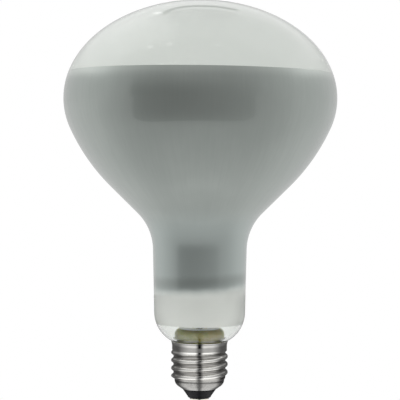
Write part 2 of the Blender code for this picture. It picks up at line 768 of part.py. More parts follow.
def exhaust_outlet(roof):
    """Cross hole by which the exhaust bore opens into the bulb."""
    bm = bmesh.new()
    bmesh.ops.create_cone(
        bm,
        cap_ends=True,
        segments=12,
        radius1=EXHAUST_BORE_DIAMETER / 2 * 0.9,
        radius2=EXHAUST_BORE_DIAMETER / 2 * 0.9,
        depth=PINCH_DEPTH,
    )
    for vert in bm.verts:
        x, y, z = vert.co
        vert.co = (x, -z - PINCH_DEPTH / 2, y + roof + EXHAUST_OUTLET_HEIGHT)
    return mesh_object("exhaust_outlet", bm, None)


# The crown of filaments


def make_bus_arcs(materials):
    """Two wire arcs, one for each lead, under the filaments."""
    radius = BUS_DIAMETER / 2
    steps = 10
    for middle, word in ((0.0, "positive"), (math.pi, "negative")):
        path = []
        for step in range(steps + 1):
            angle = middle + BUS_SPAN * (step / steps - 0.5)
            path.append((radius * math.cos(angle), radius * math.sin(angle), CROWN_HEIGHT))
        wire(f"bus_arc_{word}", path, BUS_WIRE_DIAMETER, materials["wire"])


def make_inner_leads(materials):
    """From the pinch up beside the post, then out to the middle of each bus arc."""
    _, _, roof = flare_levels()
    foot = roof + PINCH_HEIGHT - LEAD_SOCKET_DEPTH + SEAT_GAP
    elbow = CROWN_HEIGHT - LEAD_ELBOW_DROP
    tip = CROWN_HEIGHT - BUS_WIRE_DIAMETER / 2 - SEAT_GAP
    for side, word in ((1, "positive"), (-1, "negative")):
        corners = [
            (side * LEAD_SPREAD, 0, foot),
            (side * LEAD_SPREAD, 0, elbow),
            (side * BUS_DIAMETER / 2, 0, elbow + LEAD_ELBOW_DROP / 2),
            (side * BUS_DIAMETER / 2, 0, tip),
        ]
        wire(
            f"inner_lead_{word}", rounded_path(corners, LEAD_BEND_RADIUS), LEAD_DIAMETER, materials["wire"]
        )


def filament_mesh(material):
    """A phosphor-coated strip along Z from the origin, with a flat metal tab at each end."""
    tab_w, tab_d = FILAMENT_TAB_WIDTH / 2, FILAMENT_TAB_THICKNESS / 2
    strip_w, strip_d = FILAMENT_WIDTH / 2, FILAMENT_DEPTH / 2
    tab, length = FILAMENT_TAB_LENGTH, FILAMENT_LENGTH
    rounding = FILAMENT_DEPTH / 2
    sections = [
        (0.0, tab_w, tab_d),
        (tab, tab_w, tab_d),
        (tab, 0.6 * strip_w, 0.6 * strip_d),
        (tab + rounding, strip_w, strip_d),
        (length - tab - rounding, strip_w, strip_d),
        (length - tab, 0.6 * strip_w, 0.6 * strip_d),
        (length - tab, tab_w, tab_d),
        (length, tab_w, tab_d),
    ]
    bm = bmesh.new()
    rings = []
    for height, half_width, half_depth in sections:
        corner = 0.6  # of each half side, where the section's corner is cut
        turns = [(1, corner), (corner, 1), (-corner, 1), (-1, corner)]
        turns += [(-1, -corner), (-corner, -1), (corner, -1), (1, -corner)]
        rings.append([bm.verts.new((a * half_depth, b * half_width, height)) for a, b in turns])
    for below, above in zip(rings, rings[1:]):
        for i in range(len(below)):
            j = (i + 1) % len(below)
            bm.faces.new((below[i], below[j], above[j], above[i]))
    bm.faces.new(rings[0][::-1])
    bm.faces.new(rings[-1])
    bmesh.ops.recalc_face_normals(bm, faces=bm.faces)
    mesh = bpy.data.meshes.new("led_filament")
    bm.to_mesh(mesh)
    bm.free()
    mesh.shade_smooth()
    mesh.set_sharp_from_angle(angle=math.radians(40))
    mesh.materials.append(material)
    return mesh


def make_filaments(materials):
    """Eight strips that lean in from the bus arcs to the hub."""
    mesh = filament_mesh(materials["phosphor"])
    low, high, _ = crown_levels()
    lean = math.atan2(BUS_DIAMETER / 2 - filament_top_radius(), high - low)
    for number in range(FILAMENT_COUNT):
        azimuth = math.tau * (number + 0.5) / FILAMENT_COUNT
        filament = add_object(f"led_filament_{number + 1}", mesh, None)
        filament.rotation_euler = (0, -lean, azimuth)
        filament.location = (
            BUS_DIAMETER / 2 * math.cos(azimuth),
            BUS_DIAMETER / 2 * math.sin(azimuth),
            low,
        )


def make_hub(materials):
    """Stamped star on the post's bead, with an arm over each filament."""
    _, _, bottom = crown_levels()
    bore = POST_DIAMETER / 2 + SEAT_GAP
    ring = bore + HUB_RING_WIDTH
    reach = HUB_DIAMETER / 2
    bm = bmesh.new()
    outer, inner = [], []
    for number in range(FILAMENT_COUNT):
        azimuth = math.tau * (number + 0.5) / FILAMENT_COUNT
        gap = math.tau / FILAMENT_COUNT / 2
        half_arm = HUB_ARM_WIDTH / 2
        for radius, turn in (
            (ring, -gap),
            (ring, -math.asin(half_arm / ring)),
            (reach, -math.asin(half_arm / reach)),
            (reach, math.asin(half_arm / reach)),
            (ring, math.asin(half_arm / ring)),
        ):
            angle = azimuth + turn
            outer.append(bm.verts.new((radius * math.cos(angle), radius * math.sin(angle), bottom)))
            inner.append(bm.verts.new((bore * math.cos(angle), bore * math.sin(angle), bottom)))
    count = len(outer)
    faces = []
    for i in range(count):
        j = (i + 1) % count
        faces.append(bm.faces.new((outer[i], outer[j], inner[j], inner[i])))
    grown = bmesh.ops.extrude_face_region(bm, geom=faces)
    moved = [item for item in grown["geom"] if isinstance(item, bmesh.types.BMVert)]
    bmesh.ops.translate(bm, vec=(0, 0, HUB_THICKNESS), verts=moved)
    return mesh_object("filament_hub", bm, materials["wire"], sharp_angle=20)


# The driver


def sleeve_levels():
    """Foot and top of the driver's sleeve, which ends under the flare's roof."""
    _, ceiling, _ = flare_levels()
    bend = max(FLARE_BEND_RADIUS - FLARE_WALL, 0.0)
    outside = FLARE_DIAMETER / 2 - FLARE_WALL - sleeve_radius()
    corner = max(bend - outside, 0.0)
    drop = bend - math.sqrt(max(bend**2 - corner**2, 0.0))
    return cable_level() + CABLE_DIAMETER / 2 + SLEEVE_CLEARANCE, ceiling - drop - SEAT_GAP


def board_box():
    """Lowest and highest corner of the circuit board, which fills the sleeve up to the flare's headroom."""
    bore = sleeve_radius() - SLEEVE_WALL
    back = BOARD_OFFSET + BOARD_THICKNESS
    half_width = math.sqrt(bore**2 - back**2) - SEAT_GAP
    _, ceiling, _ = flare_levels()
    sleeve_foot, _ = sleeve_levels()
    foot = sleeve_foot + BOARD_CLEARANCE
    return (-half_width, BOARD_OFFSET, foot), (half_width, back, ceiling - BOARD_HEADROOM)


def make_sleeve(materials):
    radius = sleeve_radius()
    foot, top = sleeve_levels()
    outline = [
        (radius - SLEEVE_WALL, foot),
        (radius, foot),
        (radius, top),
        (radius - SLEEVE_WALL, top),
    ]
    return lathe("driver_sleeve", outline, SHELL_SEGMENTS, materials["sleeve"])


def make_board(materials):
    low, high = board_box()
    return box("driver_board", low, high, materials["board"], bevel=BOARD_EDGE_ROUND)


def resistor_place():
    """Middle of the resistor in plan, and its body's foot and top."""
    low, _ = board_box()
    foot = low[2] + COMPONENT_MARGIN + RESISTOR_LEAD_LENGTH
    return CHOKE_SIDE, BOARD_OFFSET - SEAT_GAP - RESISTOR_DIAMETER / 2, foot, foot + RESISTOR_LENGTH


def capacitor_place():
    """The capacitor's distance behind the axis, its foot and its top."""
    low, _ = board_box()
    foot = low[2] + COMPONENT_MARGIN
    return BOARD_OFFSET - SEAT_GAP - CAPACITOR_DIAMETER / 2, foot, foot + CAPACITOR_LENGTH


def choke_levels():
    """The choke stands on the resistor's upper lead."""
    _, _, _, resistor_top = resistor_place()
    foot = resistor_top + RESISTOR_LEAD_LENGTH + SEAT_GAP
    return foot, foot + CHOKE_HEIGHT


def make_capacitor(materials):
    """Aluminium can with its crimp near the foot."""
    y, foot, top = capacitor_place()
    radius = CAPACITOR_DIAMETER / 2
    crimp = radius * 0.9
    edge = radius * 0.1
    outline = [
        (0.0, foot),
        (radius - edge, foot),
        (radius, foot + edge),
        (radius, foot + 3 * edge),
        (crimp, foot + 4.5 * edge),
        (radius, foot + 6 * edge),
        (radius, top - edge),
        (radius - edge, top),
        (0.0, top),
    ]
    can = lathe("smoothing_capacitor", outline, 20, materials["can"])
    can.location = (-CAPACITOR_SIDE, y, 0)
    return can


def make_choke(materials):
    """Ferrite drum with its winding in the waist."""
    foot, top = choke_levels()
    radius, waist = CHOKE_DIAMETER / 2, CHOKE_WAIST_DIAMETER / 2
    outline = [
        (0.0, foot),
        (radius, foot),
        (radius, foot + CHOKE_FLANGE),
        (waist, foot + CHOKE_FLANGE),
        (waist, top - CHOKE_FLANGE),
        (radius, top - CHOKE_FLANGE),
        (radius, top),
        (0.0, top),
    ]
    choke = lathe("choke", outline, 20, materials["ferrite"])
    choke.location = (CHOKE_SIDE, BOARD_OFFSET - SEAT_GAP - radius, 0)
    return choke


def make_resistor(materials):
    """Fusible resistor between the live wire and the board, with its two leads."""
    x, y, foot, top = resistor_place()
    radius, waist, lead = RESISTOR_DIAMETER / 2, RESISTOR_WAIST_DIAMETER / 2, RESISTOR_LEAD_DIAMETER / 2
    cap = RESISTOR_LENGTH * 0.22
    outline = [
        (0.0, foot - RESISTOR_LEAD_LENGTH),
        (lead, foot - RESISTOR_LEAD_LENGTH),
        (lead, foot),
        (radius * 0.8, foot),
        (radius, foot + cap * 0.4),
        (radius, foot + cap),
        (waist, foot + cap * 1.3),
        (waist, top - cap * 1.3),
        (radius, top - cap),
        (radius, top - cap * 0.4),
        (radius * 0.8, top),
        (lead, top),
        (lead, top + RESISTOR_LEAD_LENGTH),
        (0.0, top + RESISTOR_LEAD_LENGTH),
    ]
    resistor = lathe("fusible_resistor", outline, 12, materials["resistor"])
    resistor.location = (x, y, 0)
    return resistor


def make_legged_chip(name, width, height, thickness, legs, foot, material):
    """A moulded package on the board's back, with its legs spread to both sides."""
    near = BOARD_OFFSET + BOARD_THICKNESS + SEAT_GAP
    middle = foot + height / 2
    pitch = height / legs
    right = []
    for leg in range(legs):
        centre = foot + pitch * (leg + 0.5)
        right += [
            (width / 2, centre - LEG_WIDTH / 2),
            (width / 2 + LEG_REACH, centre - LEG_WIDTH / 2),
            (width / 2 + LEG_REACH, centre + LEG_WIDTH / 2),
            (width / 2, centre + LEG_WIDTH / 2),
        ]
    left = [(-x, 2 * middle - z) for x, z in right]
    frame = extruded(name, right + left, near, near + LEG_THICKNESS, material)
    body = box(
        f"{name}_body",
        (-width / 2 - LEG_ROOT, near + LEG_THICKNESS / 2, foot),
        (width / 2 + LEG_ROOT, near + thickness, foot + height),
        None,
        bevel=LEG_THICKNESS / 3,
    )
    combine(frame, body, "UNION")
    return frame


def cable_level():
    """Height of the neutral wire where it runs out to the shell over the insulator."""
    return INSULATOR_TOP_HEIGHT + SEAT_GAP + max(CABLE_DIAMETER, SOLDER_DIAMETER) / 2


def make_cables(materials):
    """Live wire up the insulator's bore to the resistor, and neutral wire out to the shell."""
    x, y, foot, _ = resistor_place()
    start = CONTACT_SHANK_HEIGHT + SEAT_GAP
    end = foot - RESISTOR_LEAD_LENGTH - SEAT_GAP
    above_bore = INSULATOR_TOP_HEIGHT + CABLE_DIAMETER
    live = [(0, 0, start), (0, 0, above_bore), (x, y, (above_bore + end) / 2), (x, y, end)]
    wire("live_wire", rounded_path(live, CABLE_DIAMETER), CABLE_DIAMETER, materials["insulation"])

    low, _ = board_box()
    level = cable_level()
    pad = (-CAPACITOR_SIDE, (BOARD_OFFSET + BOARD_THICKNESS / 2), low[2] - SEAT_GAP)
    blob = solder_radius()
    outward = Vector((pad[0], pad[1], 0)).normalized()
    tip = outward * (blob - SOLDER_HEIGHT - SEAT_GAP)
    neutral = [pad, (pad[0], pad[1], level), (tip.x, tip.y, level)]
    wire("neutral_wire", rounded_path(neutral, CABLE_DIAMETER), CABLE_DIAMETER, materials["insulation"])
    make_shell_solder(outward, blob, level, materials)


def solder_radius():
    """Radius at which the solder stands on the inside of the shell, over the foot's bend."""
    return min(FOOT_TOP_DIAMETER / 2, thread_root_radius()) - SHELL_SHEET - SEAT_GAP


def make_shell_solder(outward, radius, level, materials):
    """Solder bead that joins the neutral wire to the shell."""
    bm = bmesh.new()
    bmesh.ops.create_uvsphere(bm, u_segments=12, v_segments=6, radius=SOLDER_DIAMETER / 2)
    bmesh.ops.scale(bm, vec=(SOLDER_HEIGHT / SOLDER_DIAMETER, 1, 1), verts=bm.verts)
    solder = mesh_object("shell_solder", bm, materials["solder"])
    centre = outward * (radius - SOLDER_HEIGHT / 2)
    solder.location = (centre.x, centre.y, level)
    solder.rotation_euler = (0, 0, math.atan2(outward.y, outward.x))
    return solder


def make_outer_leads(materials):
    """From the board's top edge up into the sockets under the pinch."""
    _, ceiling, _ = flare_levels()
    _, high = board_box()
    middle = BOARD_OFFSET + BOARD_THICKNESS / 2
    start, end = high[2] + SEAT_GAP, ceiling + LEAD_SOCKET_DEPTH - SEAT_GAP
    lower_bend = start + (ceiling - start) * 0.25
    upper_bend = start + (ceiling - start) * 0.6
    for side, word in ((1, "positive"), (-1, "negative")):
        x = side * LEAD_SPREAD
        corners = [(x, middle, start), (x, middle, lower_bend), (x, 0, upper_bend), (x, 0, end)]
        wire(
            f"outer_lead_{word}", rounded_path(corners, LEAD_DIAMETER), LEAD_DIAMETER, materials["wire"]
        )


def make_driver(materials):
    make_sleeve(materials)
    make_board(materials)
    make_capacitor(materials)
    make_choke(materials)
    make_resistor(materials)
    low, high = board_box()
    make_legged_chip(
        "bridge_rectifier",
        BRIDGE_WIDTH,
        BRIDGE_HEIGHT,
        BRIDGE_THICKNESS,
        BRIDGE_LEGS,
        low[2] + COMPONENT_MARGIN,
        materials["resin"],
    )
    make_legged_chip(
        "driver_chip",
        CHIP_WIDTH,
        CHIP_HEIGHT,
        CHIP_THICKNESS,
        CHIP_LEGS,
        high[2] - COMPONENT_MARGIN - CHIP_HEIGHT,
        materials["resin"],
    )
    make_cables(materials)
    make_outer_leads(materials)


def main():
    clear_scene()
    materials = make_materials()
    make_screw_shell(materials)
    make_insulator(materials)
    make_contact(materials)
    make_cement(materials)
    make_envelope(materials)
    upright = list(bpy.data.objects)
    make_stem(materials)
    make_inner_leads(materials)
    make_bus_arcs(materials)
    make_filaments(materials)
    make_hub(materials)
    make_driver(materials)
    turn_with_stem(upright)


main()
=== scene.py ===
# Large reflector lamp: finishes, fine surfaces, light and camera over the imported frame.
import math

import bmesh
import bpy
from mathutils import Matrix, Vector


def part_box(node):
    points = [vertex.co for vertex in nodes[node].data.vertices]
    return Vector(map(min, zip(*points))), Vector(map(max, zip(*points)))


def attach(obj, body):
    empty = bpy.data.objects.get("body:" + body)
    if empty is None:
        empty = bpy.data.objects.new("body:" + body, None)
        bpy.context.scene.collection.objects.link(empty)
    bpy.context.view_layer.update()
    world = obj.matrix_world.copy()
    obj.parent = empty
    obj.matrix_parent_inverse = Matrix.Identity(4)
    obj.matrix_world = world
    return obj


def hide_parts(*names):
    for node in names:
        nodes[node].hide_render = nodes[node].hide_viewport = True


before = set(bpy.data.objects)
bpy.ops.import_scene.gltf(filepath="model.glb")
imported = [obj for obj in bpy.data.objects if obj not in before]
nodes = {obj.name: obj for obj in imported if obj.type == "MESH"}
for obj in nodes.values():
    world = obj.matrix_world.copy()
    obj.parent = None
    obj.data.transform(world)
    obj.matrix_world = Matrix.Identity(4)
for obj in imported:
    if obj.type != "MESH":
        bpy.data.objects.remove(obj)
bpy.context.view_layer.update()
mm = 0.001
print("frame loaded with", len(nodes), "nodes")


# Shared fits, the same as the frame's own
fits = {"seatGap": 0.3 * mm, "capHeight": 26.8 * mm, "sheet": 0.35 * mm}


# Camera: a long lens a little above the table

cameraSetup = {
    "distance": 675 * mm,
    "height": 112.5 * mm,
    "aimHeight": 91.7 * mm,
    "lens": 132.4,
    "roll": math.radians(0.2),
    "sensor": 36,
    "clip": (0.01, 50),
}


def addCamera(setup):
    camera = bpy.data.objects.new("photoCamera", bpy.data.cameras.new("photoCamera"))
    bpy.context.scene.collection.objects.link(camera)
    camera.location = (0, -setup["distance"], setup["height"])
    aim = Vector((0, 0, setup["aimHeight"])) - camera.location
    turned = aim.to_track_quat("-Z", "Y").to_matrix() @ Matrix.Rotation(setup["roll"], 3, "Z")
    camera.rotation_euler = turned.to_euler()
    camera.data.lens = setup["lens"]
    camera.data.sensor_width = setup["sensor"]
    camera.data.clip_start, camera.data.clip_end = setup["clip"]
    bpy.context.scene.camera = camera


addCamera(cameraSetup)
bpy.context.scene.view_settings.view_transform = "Standard"
bpy.context.scene.view_settings.look = "None"
print("camera placed")


# Node helpers for every material


def newMaterial(name):
    material = bpy.data.materials.new(name)
    material.use_nodes = True
    tree = material.node_tree
    return material, tree, tree.nodes["Principled BSDF"]


def addNode(tree, kind, inputs=None, **settings):
    node = tree.nodes.new(kind)
    for key, value in settings.items():
        setattr(node, key, value)
    for key, value in (inputs or {}).items():
        if isinstance(value, bpy.types.NodeSocket):
            tree.links.new(value, node.inputs[key])
        else:
            node.inputs[key].default_value = value
    return node


def calc(tree, operation, first, second=0.0, clamp=False):
    inputs = {0: first, 1: second}
    return addNode(tree, "ShaderNodeMath", inputs, operation=operation, use_clamp=clamp).outputs[0]


def fade(tree, value, low, high, toLow=0.0, toHigh=1.0):
    node = addNode(
        tree,
        "ShaderNodeMapRange",
        {"Value": value, "From Min": low, "From Max": high, "To Min": toLow, "To Max": toHigh},
        interpolation_type="SMOOTHSTEP",
    )
    return node.outputs["Result"]


def blendColours(tree, share, *colours):
    first, second = ((*colour, 1.0) if isinstance(colour, tuple) else colour for colour in colours)
    inputs = {0: share, 6: first, 7: second}
    return addNode(tree, "ShaderNodeMix", inputs, data_type="RGBA").outputs[2]


def objectPlace(tree):
    place = addNode(tree, "ShaderNodeTexCoord").outputs["Object"]
    parts = addNode(tree, "ShaderNodeSeparateXYZ", {0: place})
    return place, parts.outputs


def noiseAt(tree, place, scale, detail=2.0, rough=0.5, stretch=(1, 1, 1)):
    mapping = addNode(tree, "ShaderNodeMapping", {"Vector": place, "Scale": stretch})
    noise = addNode(
        tree,
        "ShaderNodeTexNoise",
        {"Vector": mapping.outputs[0], "Scale": scale, "Detail": detail, "Roughness": rough},
    )
    return noise.outputs["Fac"]


def bumpFrom(tree, height, strength, distance):
    inputs = {"Height": height, "Strength": strength, "Distance": distance}
    return addNode(tree, "ShaderNodeBump", inputs).outputs[0]


def mottle(tree, pattern, first, second):
    # two tones in soft patches
    return blendColours(tree, fade(tree, pattern, 0.3, 0.7), first, second)


def paint(tree, shader, pattern, first, second):
    tree.links.new(mottle(tree, pattern, first, second), shader.inputs["Base Color"])


def roughen(tree, shader, pattern, smooth, rough):
    tree.links.new(fade(tree, pattern, 0.3, 0.7, smooth, rough), shader.inputs["Roughness"])


def patternMaterial(name, first, second, scale, rough, metallic=0.0, bump=0.0):
    material, tree, shader = newMaterial(name)
    place, _ = objectPlace(tree)
    pattern = noiseAt(tree, place, scale, 3)
    paint(tree, shader, pattern, first, second)
    roughen(tree, shader, pattern, rough - 0.06, rough + 0.06)
    if bump:
        tree.links.new(bumpFrom(tree, pattern, bump, 0.05 * mm), shader.inputs["Normal"])
    shader.inputs["Metallic"].default_value = metallic
    return material


# Mesh helpers


def arcFrom(bm, vert, centre, angle, steps):
    # carries one vertex round a centre in the XZ plane, clockwise seen from the front
    ends = bmesh.ops.spin(
        bm, geom=[vert], cent=(centre[0], 0, centre[1]), axis=(0, 1, 0), angle=angle, steps=steps
    )
    return [item for item in ends["geom_last"] if isinstance(item, bmesh.types.BMVert)][0]


def straightFrom(bm, vert, step, count=1):
    for _ in range(count):
        grown = bmesh.ops.extrude_vert_indiv(bm, verts=[vert])
        vert = grown["verts"][0]
        bmesh.ops.translate(bm, verts=[vert], vec=(step[0] / count, 0, step[1] / count))
    return vert


def turn(bm, steps):
    bmesh.ops.spin(
        bm,
        geom=bm.verts[:] + bm.edges[:],
        cent=(0, 0, 0),
        axis=(0, 0, 1),
        angle=math.tau,
        steps=steps,
        use_merge=True,
    )
    bmesh.ops.remove_doubles(bm, verts=bm.verts, dist=2e-6)
    bmesh.ops.recalc_face_normals(bm, faces=bm.faces)


def objectFrom(bm, name, materials):
    mesh = bpy.data.meshes.new(name)
    bm.to_mesh(mesh)
    bm.free()
    for material in materials:
        mesh.materials.append(material)
    obj = bpy.data.objects.new(name, mesh)
    bpy.context.scene.collection.objects.link(obj)
    return obj


def pieceFrom(bm, name, materials, sharpAngle=40):
    piece = objectFrom(bm, name, materials)
    piece.data.shade_smooth()
    piece.data.set_sharp_from_angle(angle=math.radians(sharpAngle))
    return piece


def seat(piece, slot, *replaced):
    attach(piece, "root")
    if replaced:
        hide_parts(*replaced)


# Stage helpers: flat light seen by its place or direction


def newShaderTree(data):
    data.use_nodes = True
    data.node_tree.nodes.clear()
    return data.node_tree


def azimuthOf(tree, parts):
    # 0 towards the camera's side, growing to the right
    return calc(tree, "ARCTAN2", parts[0], calc(tree, "MULTIPLY", parts[1], -1.0))


def times(tree, *values):
    product = values[0]
    for value in values[1:]:
        product = calc(tree, "MULTIPLY", product, value)
    return product


def between(tree, value, low, high, soft, softHigh=None):
    softHigh = softHigh or soft
    return times(
        tree,
        fade(tree, value, low - soft, low + soft),
        fade(tree, value, high - softHigh, high + softHigh, 1.0, 0.0),
    )


def over(tree, share, below, above):
    # one level laid over another by a share from 0 to 1
    node = addNode(tree, "ShaderNodeMapRange", {"Value": share, "To Min": below, "To Max": above})
    return node.outputs[0]


def levelRamp(tree, value, reach, stops):
    # piecewise level over a length in mm
    ramp = addNode(tree, "ShaderNodeValToRGB", {0: calc(tree, "DIVIDE", value, reach * mm)})
    marks = ramp.color_ramp.elements
    while len(marks) < len(stops):
        marks.new(0.5)
    top = max(level for _, level in stops)
    for mark, (place, level) in zip(marks, stops):
        mark.position = place / reach
        mark.color = (level / top, level / top, level / top, 1)
    return calc(tree, "MULTIPLY", ramp.outputs[0], top)


def distanceFromAxis(tree, place):
    flat = addNode(tree, "ShaderNodeVectorMath", {0: place, 1: (1, 1, 0)}, operation="MULTIPLY")
    away = addNode(tree, "ShaderNodeVectorMath", {0: flat.outputs[0]}, operation="LENGTH")
    return away.outputs["Value"]


def glowMaterial(name, level):
    material = bpy.data.materials.new(name)
    material.cycles.emission_sampling = "NONE"
    tree = newShaderTree(material)
    glow = addNode(tree, "ShaderNodeEmission", {"Color": (1, 1, 1, 1), "Strength": level})
    output = addNode(tree, "ShaderNodeOutputMaterial")
    tree.links.new(glow.outputs[0], output.inputs[0])
    return material, tree, glow, output


def mixInto(tree, output, share, first, second):
    shaders = {0: share, 1: first.outputs[0], 2: second.outputs[0]}
    tree.links.new(addNode(tree, "ShaderNodeMixShader", shaders).outputs[0], output.inputs[0])


def glowByShare(tree, glow, output, share):
    # where the share is 0 the piece is clear
    mixInto(tree, output, share, addNode(tree, "ShaderNodeBsdfTransparent"), glow)


def backSide(tree):
    return addNode(tree, "ShaderNodeNewGeometry").outputs["Backfacing"]


def frontSide(tree):
    return calc(tree, "SUBTRACT", 1.0, backSide(tree))


def stageObject(bm, name, material):
    obj = objectFrom(bm, name, [material])
    return obj


def glossOnly(obj):
    obj.visible_camera = False
    obj.visible_diffuse = False
    obj.visible_transmission = False
    obj.visible_shadow = False


# Tent: white walls by direction, open in front, where the gloss sees a dark room

tent = {
    "wallLevel": 0.64,
    "frontShare": 0.52,
    "wallTurn": (0.5, 2.1),
    "sideBlend": 0.2,
    "backLevels": (0.60, 1.02),
    "backRise": (0.26, 0.46),
    "backEdge": (-0.15, 0.10),
    "roomLevels": (0.14, 0.27),
    "roomTurn": (math.radians(-15), math.radians(45)),
    "windowTurn": (math.radians(-59), math.radians(47.5)),
    "windowSoft": math.radians(2.5),
    "windowRise": (math.radians(-37), math.radians(20)),
    "riseSoft": (math.radians(7.8), math.radians(13)),
    "sideLight": (1.07, 0.84),
    "lampBehind": (-0.3, -0.1),
}


def wallLevel(tree, tent, azimuth, parts):
    # the walls fall off towards the open front, and the wall behind is darker at its foot
    wall, blend = tent["wallLevel"], tent["sideBlend"]
    behind = fade(tree, parts[2], *tent["backRise"], *tent["backLevels"])
    behind = over(tree, fade(tree, parts[1], -blend, blend), wall, behind)
    turned = calc(tree, "ABSOLUTE", azimuth)
    return fade(tree, turned, *tent["wallTurn"], wall * tent["frontShare"], behind)


def windowShare(tree, tent, azimuth, parts):
    rise = calc(tree, "ARCSINE", parts[2])
    return times(
        tree,
        between(tree, azimuth, *tent["windowTurn"], tent["windowSoft"]),
        between(tree, rise, *tent["windowRise"], *tent["riseSoft"]),
    )


softBoxes = {
    "levels": (1.25, 0.85),
    "inner": (0.12, 0.32),
    "rise": (0.50, 0.70),
    "blend": 0.2,
    "roofLevel": 0.6,
    "roofEdge": (0.12, 0.30),
    "roofRise": (0.68, 0.72),
}


def withBoxes(tree, boxes, back, parts, wall):
    # a soft box at each side over the back, with a dimmer roof between them
    aside = calc(tree, "ABSOLUTE", parts[0])
    middle = fade(tree, aside, *boxes["roofEdge"], 1.0, 0.0)
    roof = times(tree, back, middle, fade(tree, parts[2], *boxes["roofRise"]))
    wall = over(tree, roof, wall, boxes["roofLevel"])
    outer = fade(tree, aside, *boxes["inner"])
    lit = times(tree, back, outer, fade(tree, parts[2], *boxes["rise"]))
    level = fade(tree, parts[0], -boxes["blend"], boxes["blend"], *boxes["levels"])
    return over(tree, lit, wall, level)


darkBar = {
    "level": 0.05,
    "height": 0.615,
    "half": 0.03,
    "soft": 0.012,
    "span": (-0.175, 0.14),
    "endSoft": 0.01,
    "bendFrom": 0.04,
    "bend": 6.0,
}


def withBar(tree, bar, back, parts, wall):
    # a dark bar lies across the back and bends up at its left end
    left = calc(tree, "SUBTRACT", calc(tree, "MULTIPLY", parts[0], -1.0), bar["bendFrom"])
    left = calc(tree, "MAXIMUM", left, 0.0)
    middle = calc(tree, "ADD", times(tree, left, left, bar["bend"]), bar["height"])
    off = calc(tree, "SUBTRACT", parts[2], middle)
    across = between(tree, off, -bar["half"], bar["half"], bar["soft"])
    along = between(tree, parts[0], *bar["span"], bar["endSoft"])
    return over(tree, times(tree, back, across, along), wall, bar["level"])


lamps = {
    "level": 3.2,
    "directions": ((-0.48, -0.09, 0.87), (-0.30, -0.15, 0.94), (0.18, -0.23, 0.96)),
    "edge": (0.015, 0.05),
}


def withLamps(tree, lamps, place, wall):
    for direction in lamps["directions"]:
        off = addNode(tree, "ShaderNodeVectorMath", {0: place, 1: direction}, operation="DISTANCE")
        spot = fade(tree, off.outputs["Value"], *lamps["edge"], 1.0, 0.0)
        wall = over(tree, spot, wall, lamps["level"])
    return wall


slits = {
    "level": 3.4,
    "places": (-0.171, -0.180, -0.189),
    "half": 0.002,
    "soft": 0.001,
    "rise": (0.61, 0.69),
    "riseSoft": 0.02,
}


def withSlits(tree, slits, back, parts, wall):
    half = slits["half"]
    for place in slits["places"]:
        across = between(tree, parts[0], place - half, place + half, slits["soft"])
        along = between(tree, parts[2], *slits["rise"], slits["riseSoft"])
        wall = over(tree, times(tree, back, across, along), wall, slits["level"])
    return wall


def addWorld(tent):
    world = bpy.data.worlds.new("tent")
    bpy.context.scene.world = world
    world.cycles.sampling_method = "NONE"
    tree = newShaderTree(world)
    place = addNode(tree, "ShaderNodeTexCoord").outputs["Generated"]
    parts = addNode(tree, "ShaderNodeSeparateXYZ", {0: place}).outputs
    azimuth = azimuthOf(tree, parts)
    back = fade(tree, parts[1], *tent["backEdge"])
    wall = wallLevel(tree, tent, azimuth, parts)
    wall = withBoxes(tree, softBoxes, back, parts, wall)
    wall = withBar(tree, darkBar, back, parts, wall)
    wall = withLamps(tree, lamps, place, wall)
    wall = withSlits(tree, slits, back, parts, wall)
    room = fade(tree, azimuth, *tent["roomTurn"], *tent["roomLevels"])
    level = over(tree, windowShare(tree, tent, azimuth, parts), wall, room)
    gloss = addNode(tree, "ShaderNodeBackground", {"Color": (1, 1, 1, 1), "Strength": level})
    path = addNode(tree, "ShaderNodeLightPath").outputs
    # what falls on the lamp is a little stronger from the left, and the backdrop is white
    lean = fade(tree, parts[0], -1, 1, *tent["sideLight"])
    level = over(tree, path["Is Camera Ray"], lean, 1.0)
    plain = addNode(tree, "ShaderNodeBackground", {"Color": (1, 1, 1, 1), "Strength": level})
    # refracted rays count as glossy: behind the lamp and after a matt bounce they see plain light
    behind = fade(tree, parts[1], *tent["lampBehind"])
    plainly = calc(tree, "MAXIMUM", behind, path["Diffuse Depth"])
    through = calc(tree, "MULTIPLY", path["Is Transmission Ray"], plainly, clamp=True)
    mirrored = calc(tree, "SUBTRACT", path["Is Glossy Ray"], through, clamp=True)
    mixInto(tree, addNode(tree, "ShaderNodeOutputWorld"), mirrored, plain, gloss)


addWorld(tent)
print("tent lit")


# Floor: plain white from above, clear from below

floorSheet = {"reach": 6.0, "drop": 0.05 * mm, "level": 1.0}


def addFloor(floorSheet):
    bm = bmesh.new()
    bmesh.ops.create_grid(bm, x_segments=1, y_segments=1, size=floorSheet["reach"])
    bmesh.ops.translate(bm, vec=(0, 0, -floorSheet["drop"]), verts=bm.verts)
    material, tree, glow, output = glowMaterial("floorWhite", floorSheet["level"])
    glowByShare(tree, glow, output, frontSide(tree))
    floor = stageObject(bm, "floor", material)
    floor.visible_glossy = False


addFloor(floorSheet)


# What the gloss sees of the table: bright beside the cap, paler under the bulb, cut off in front

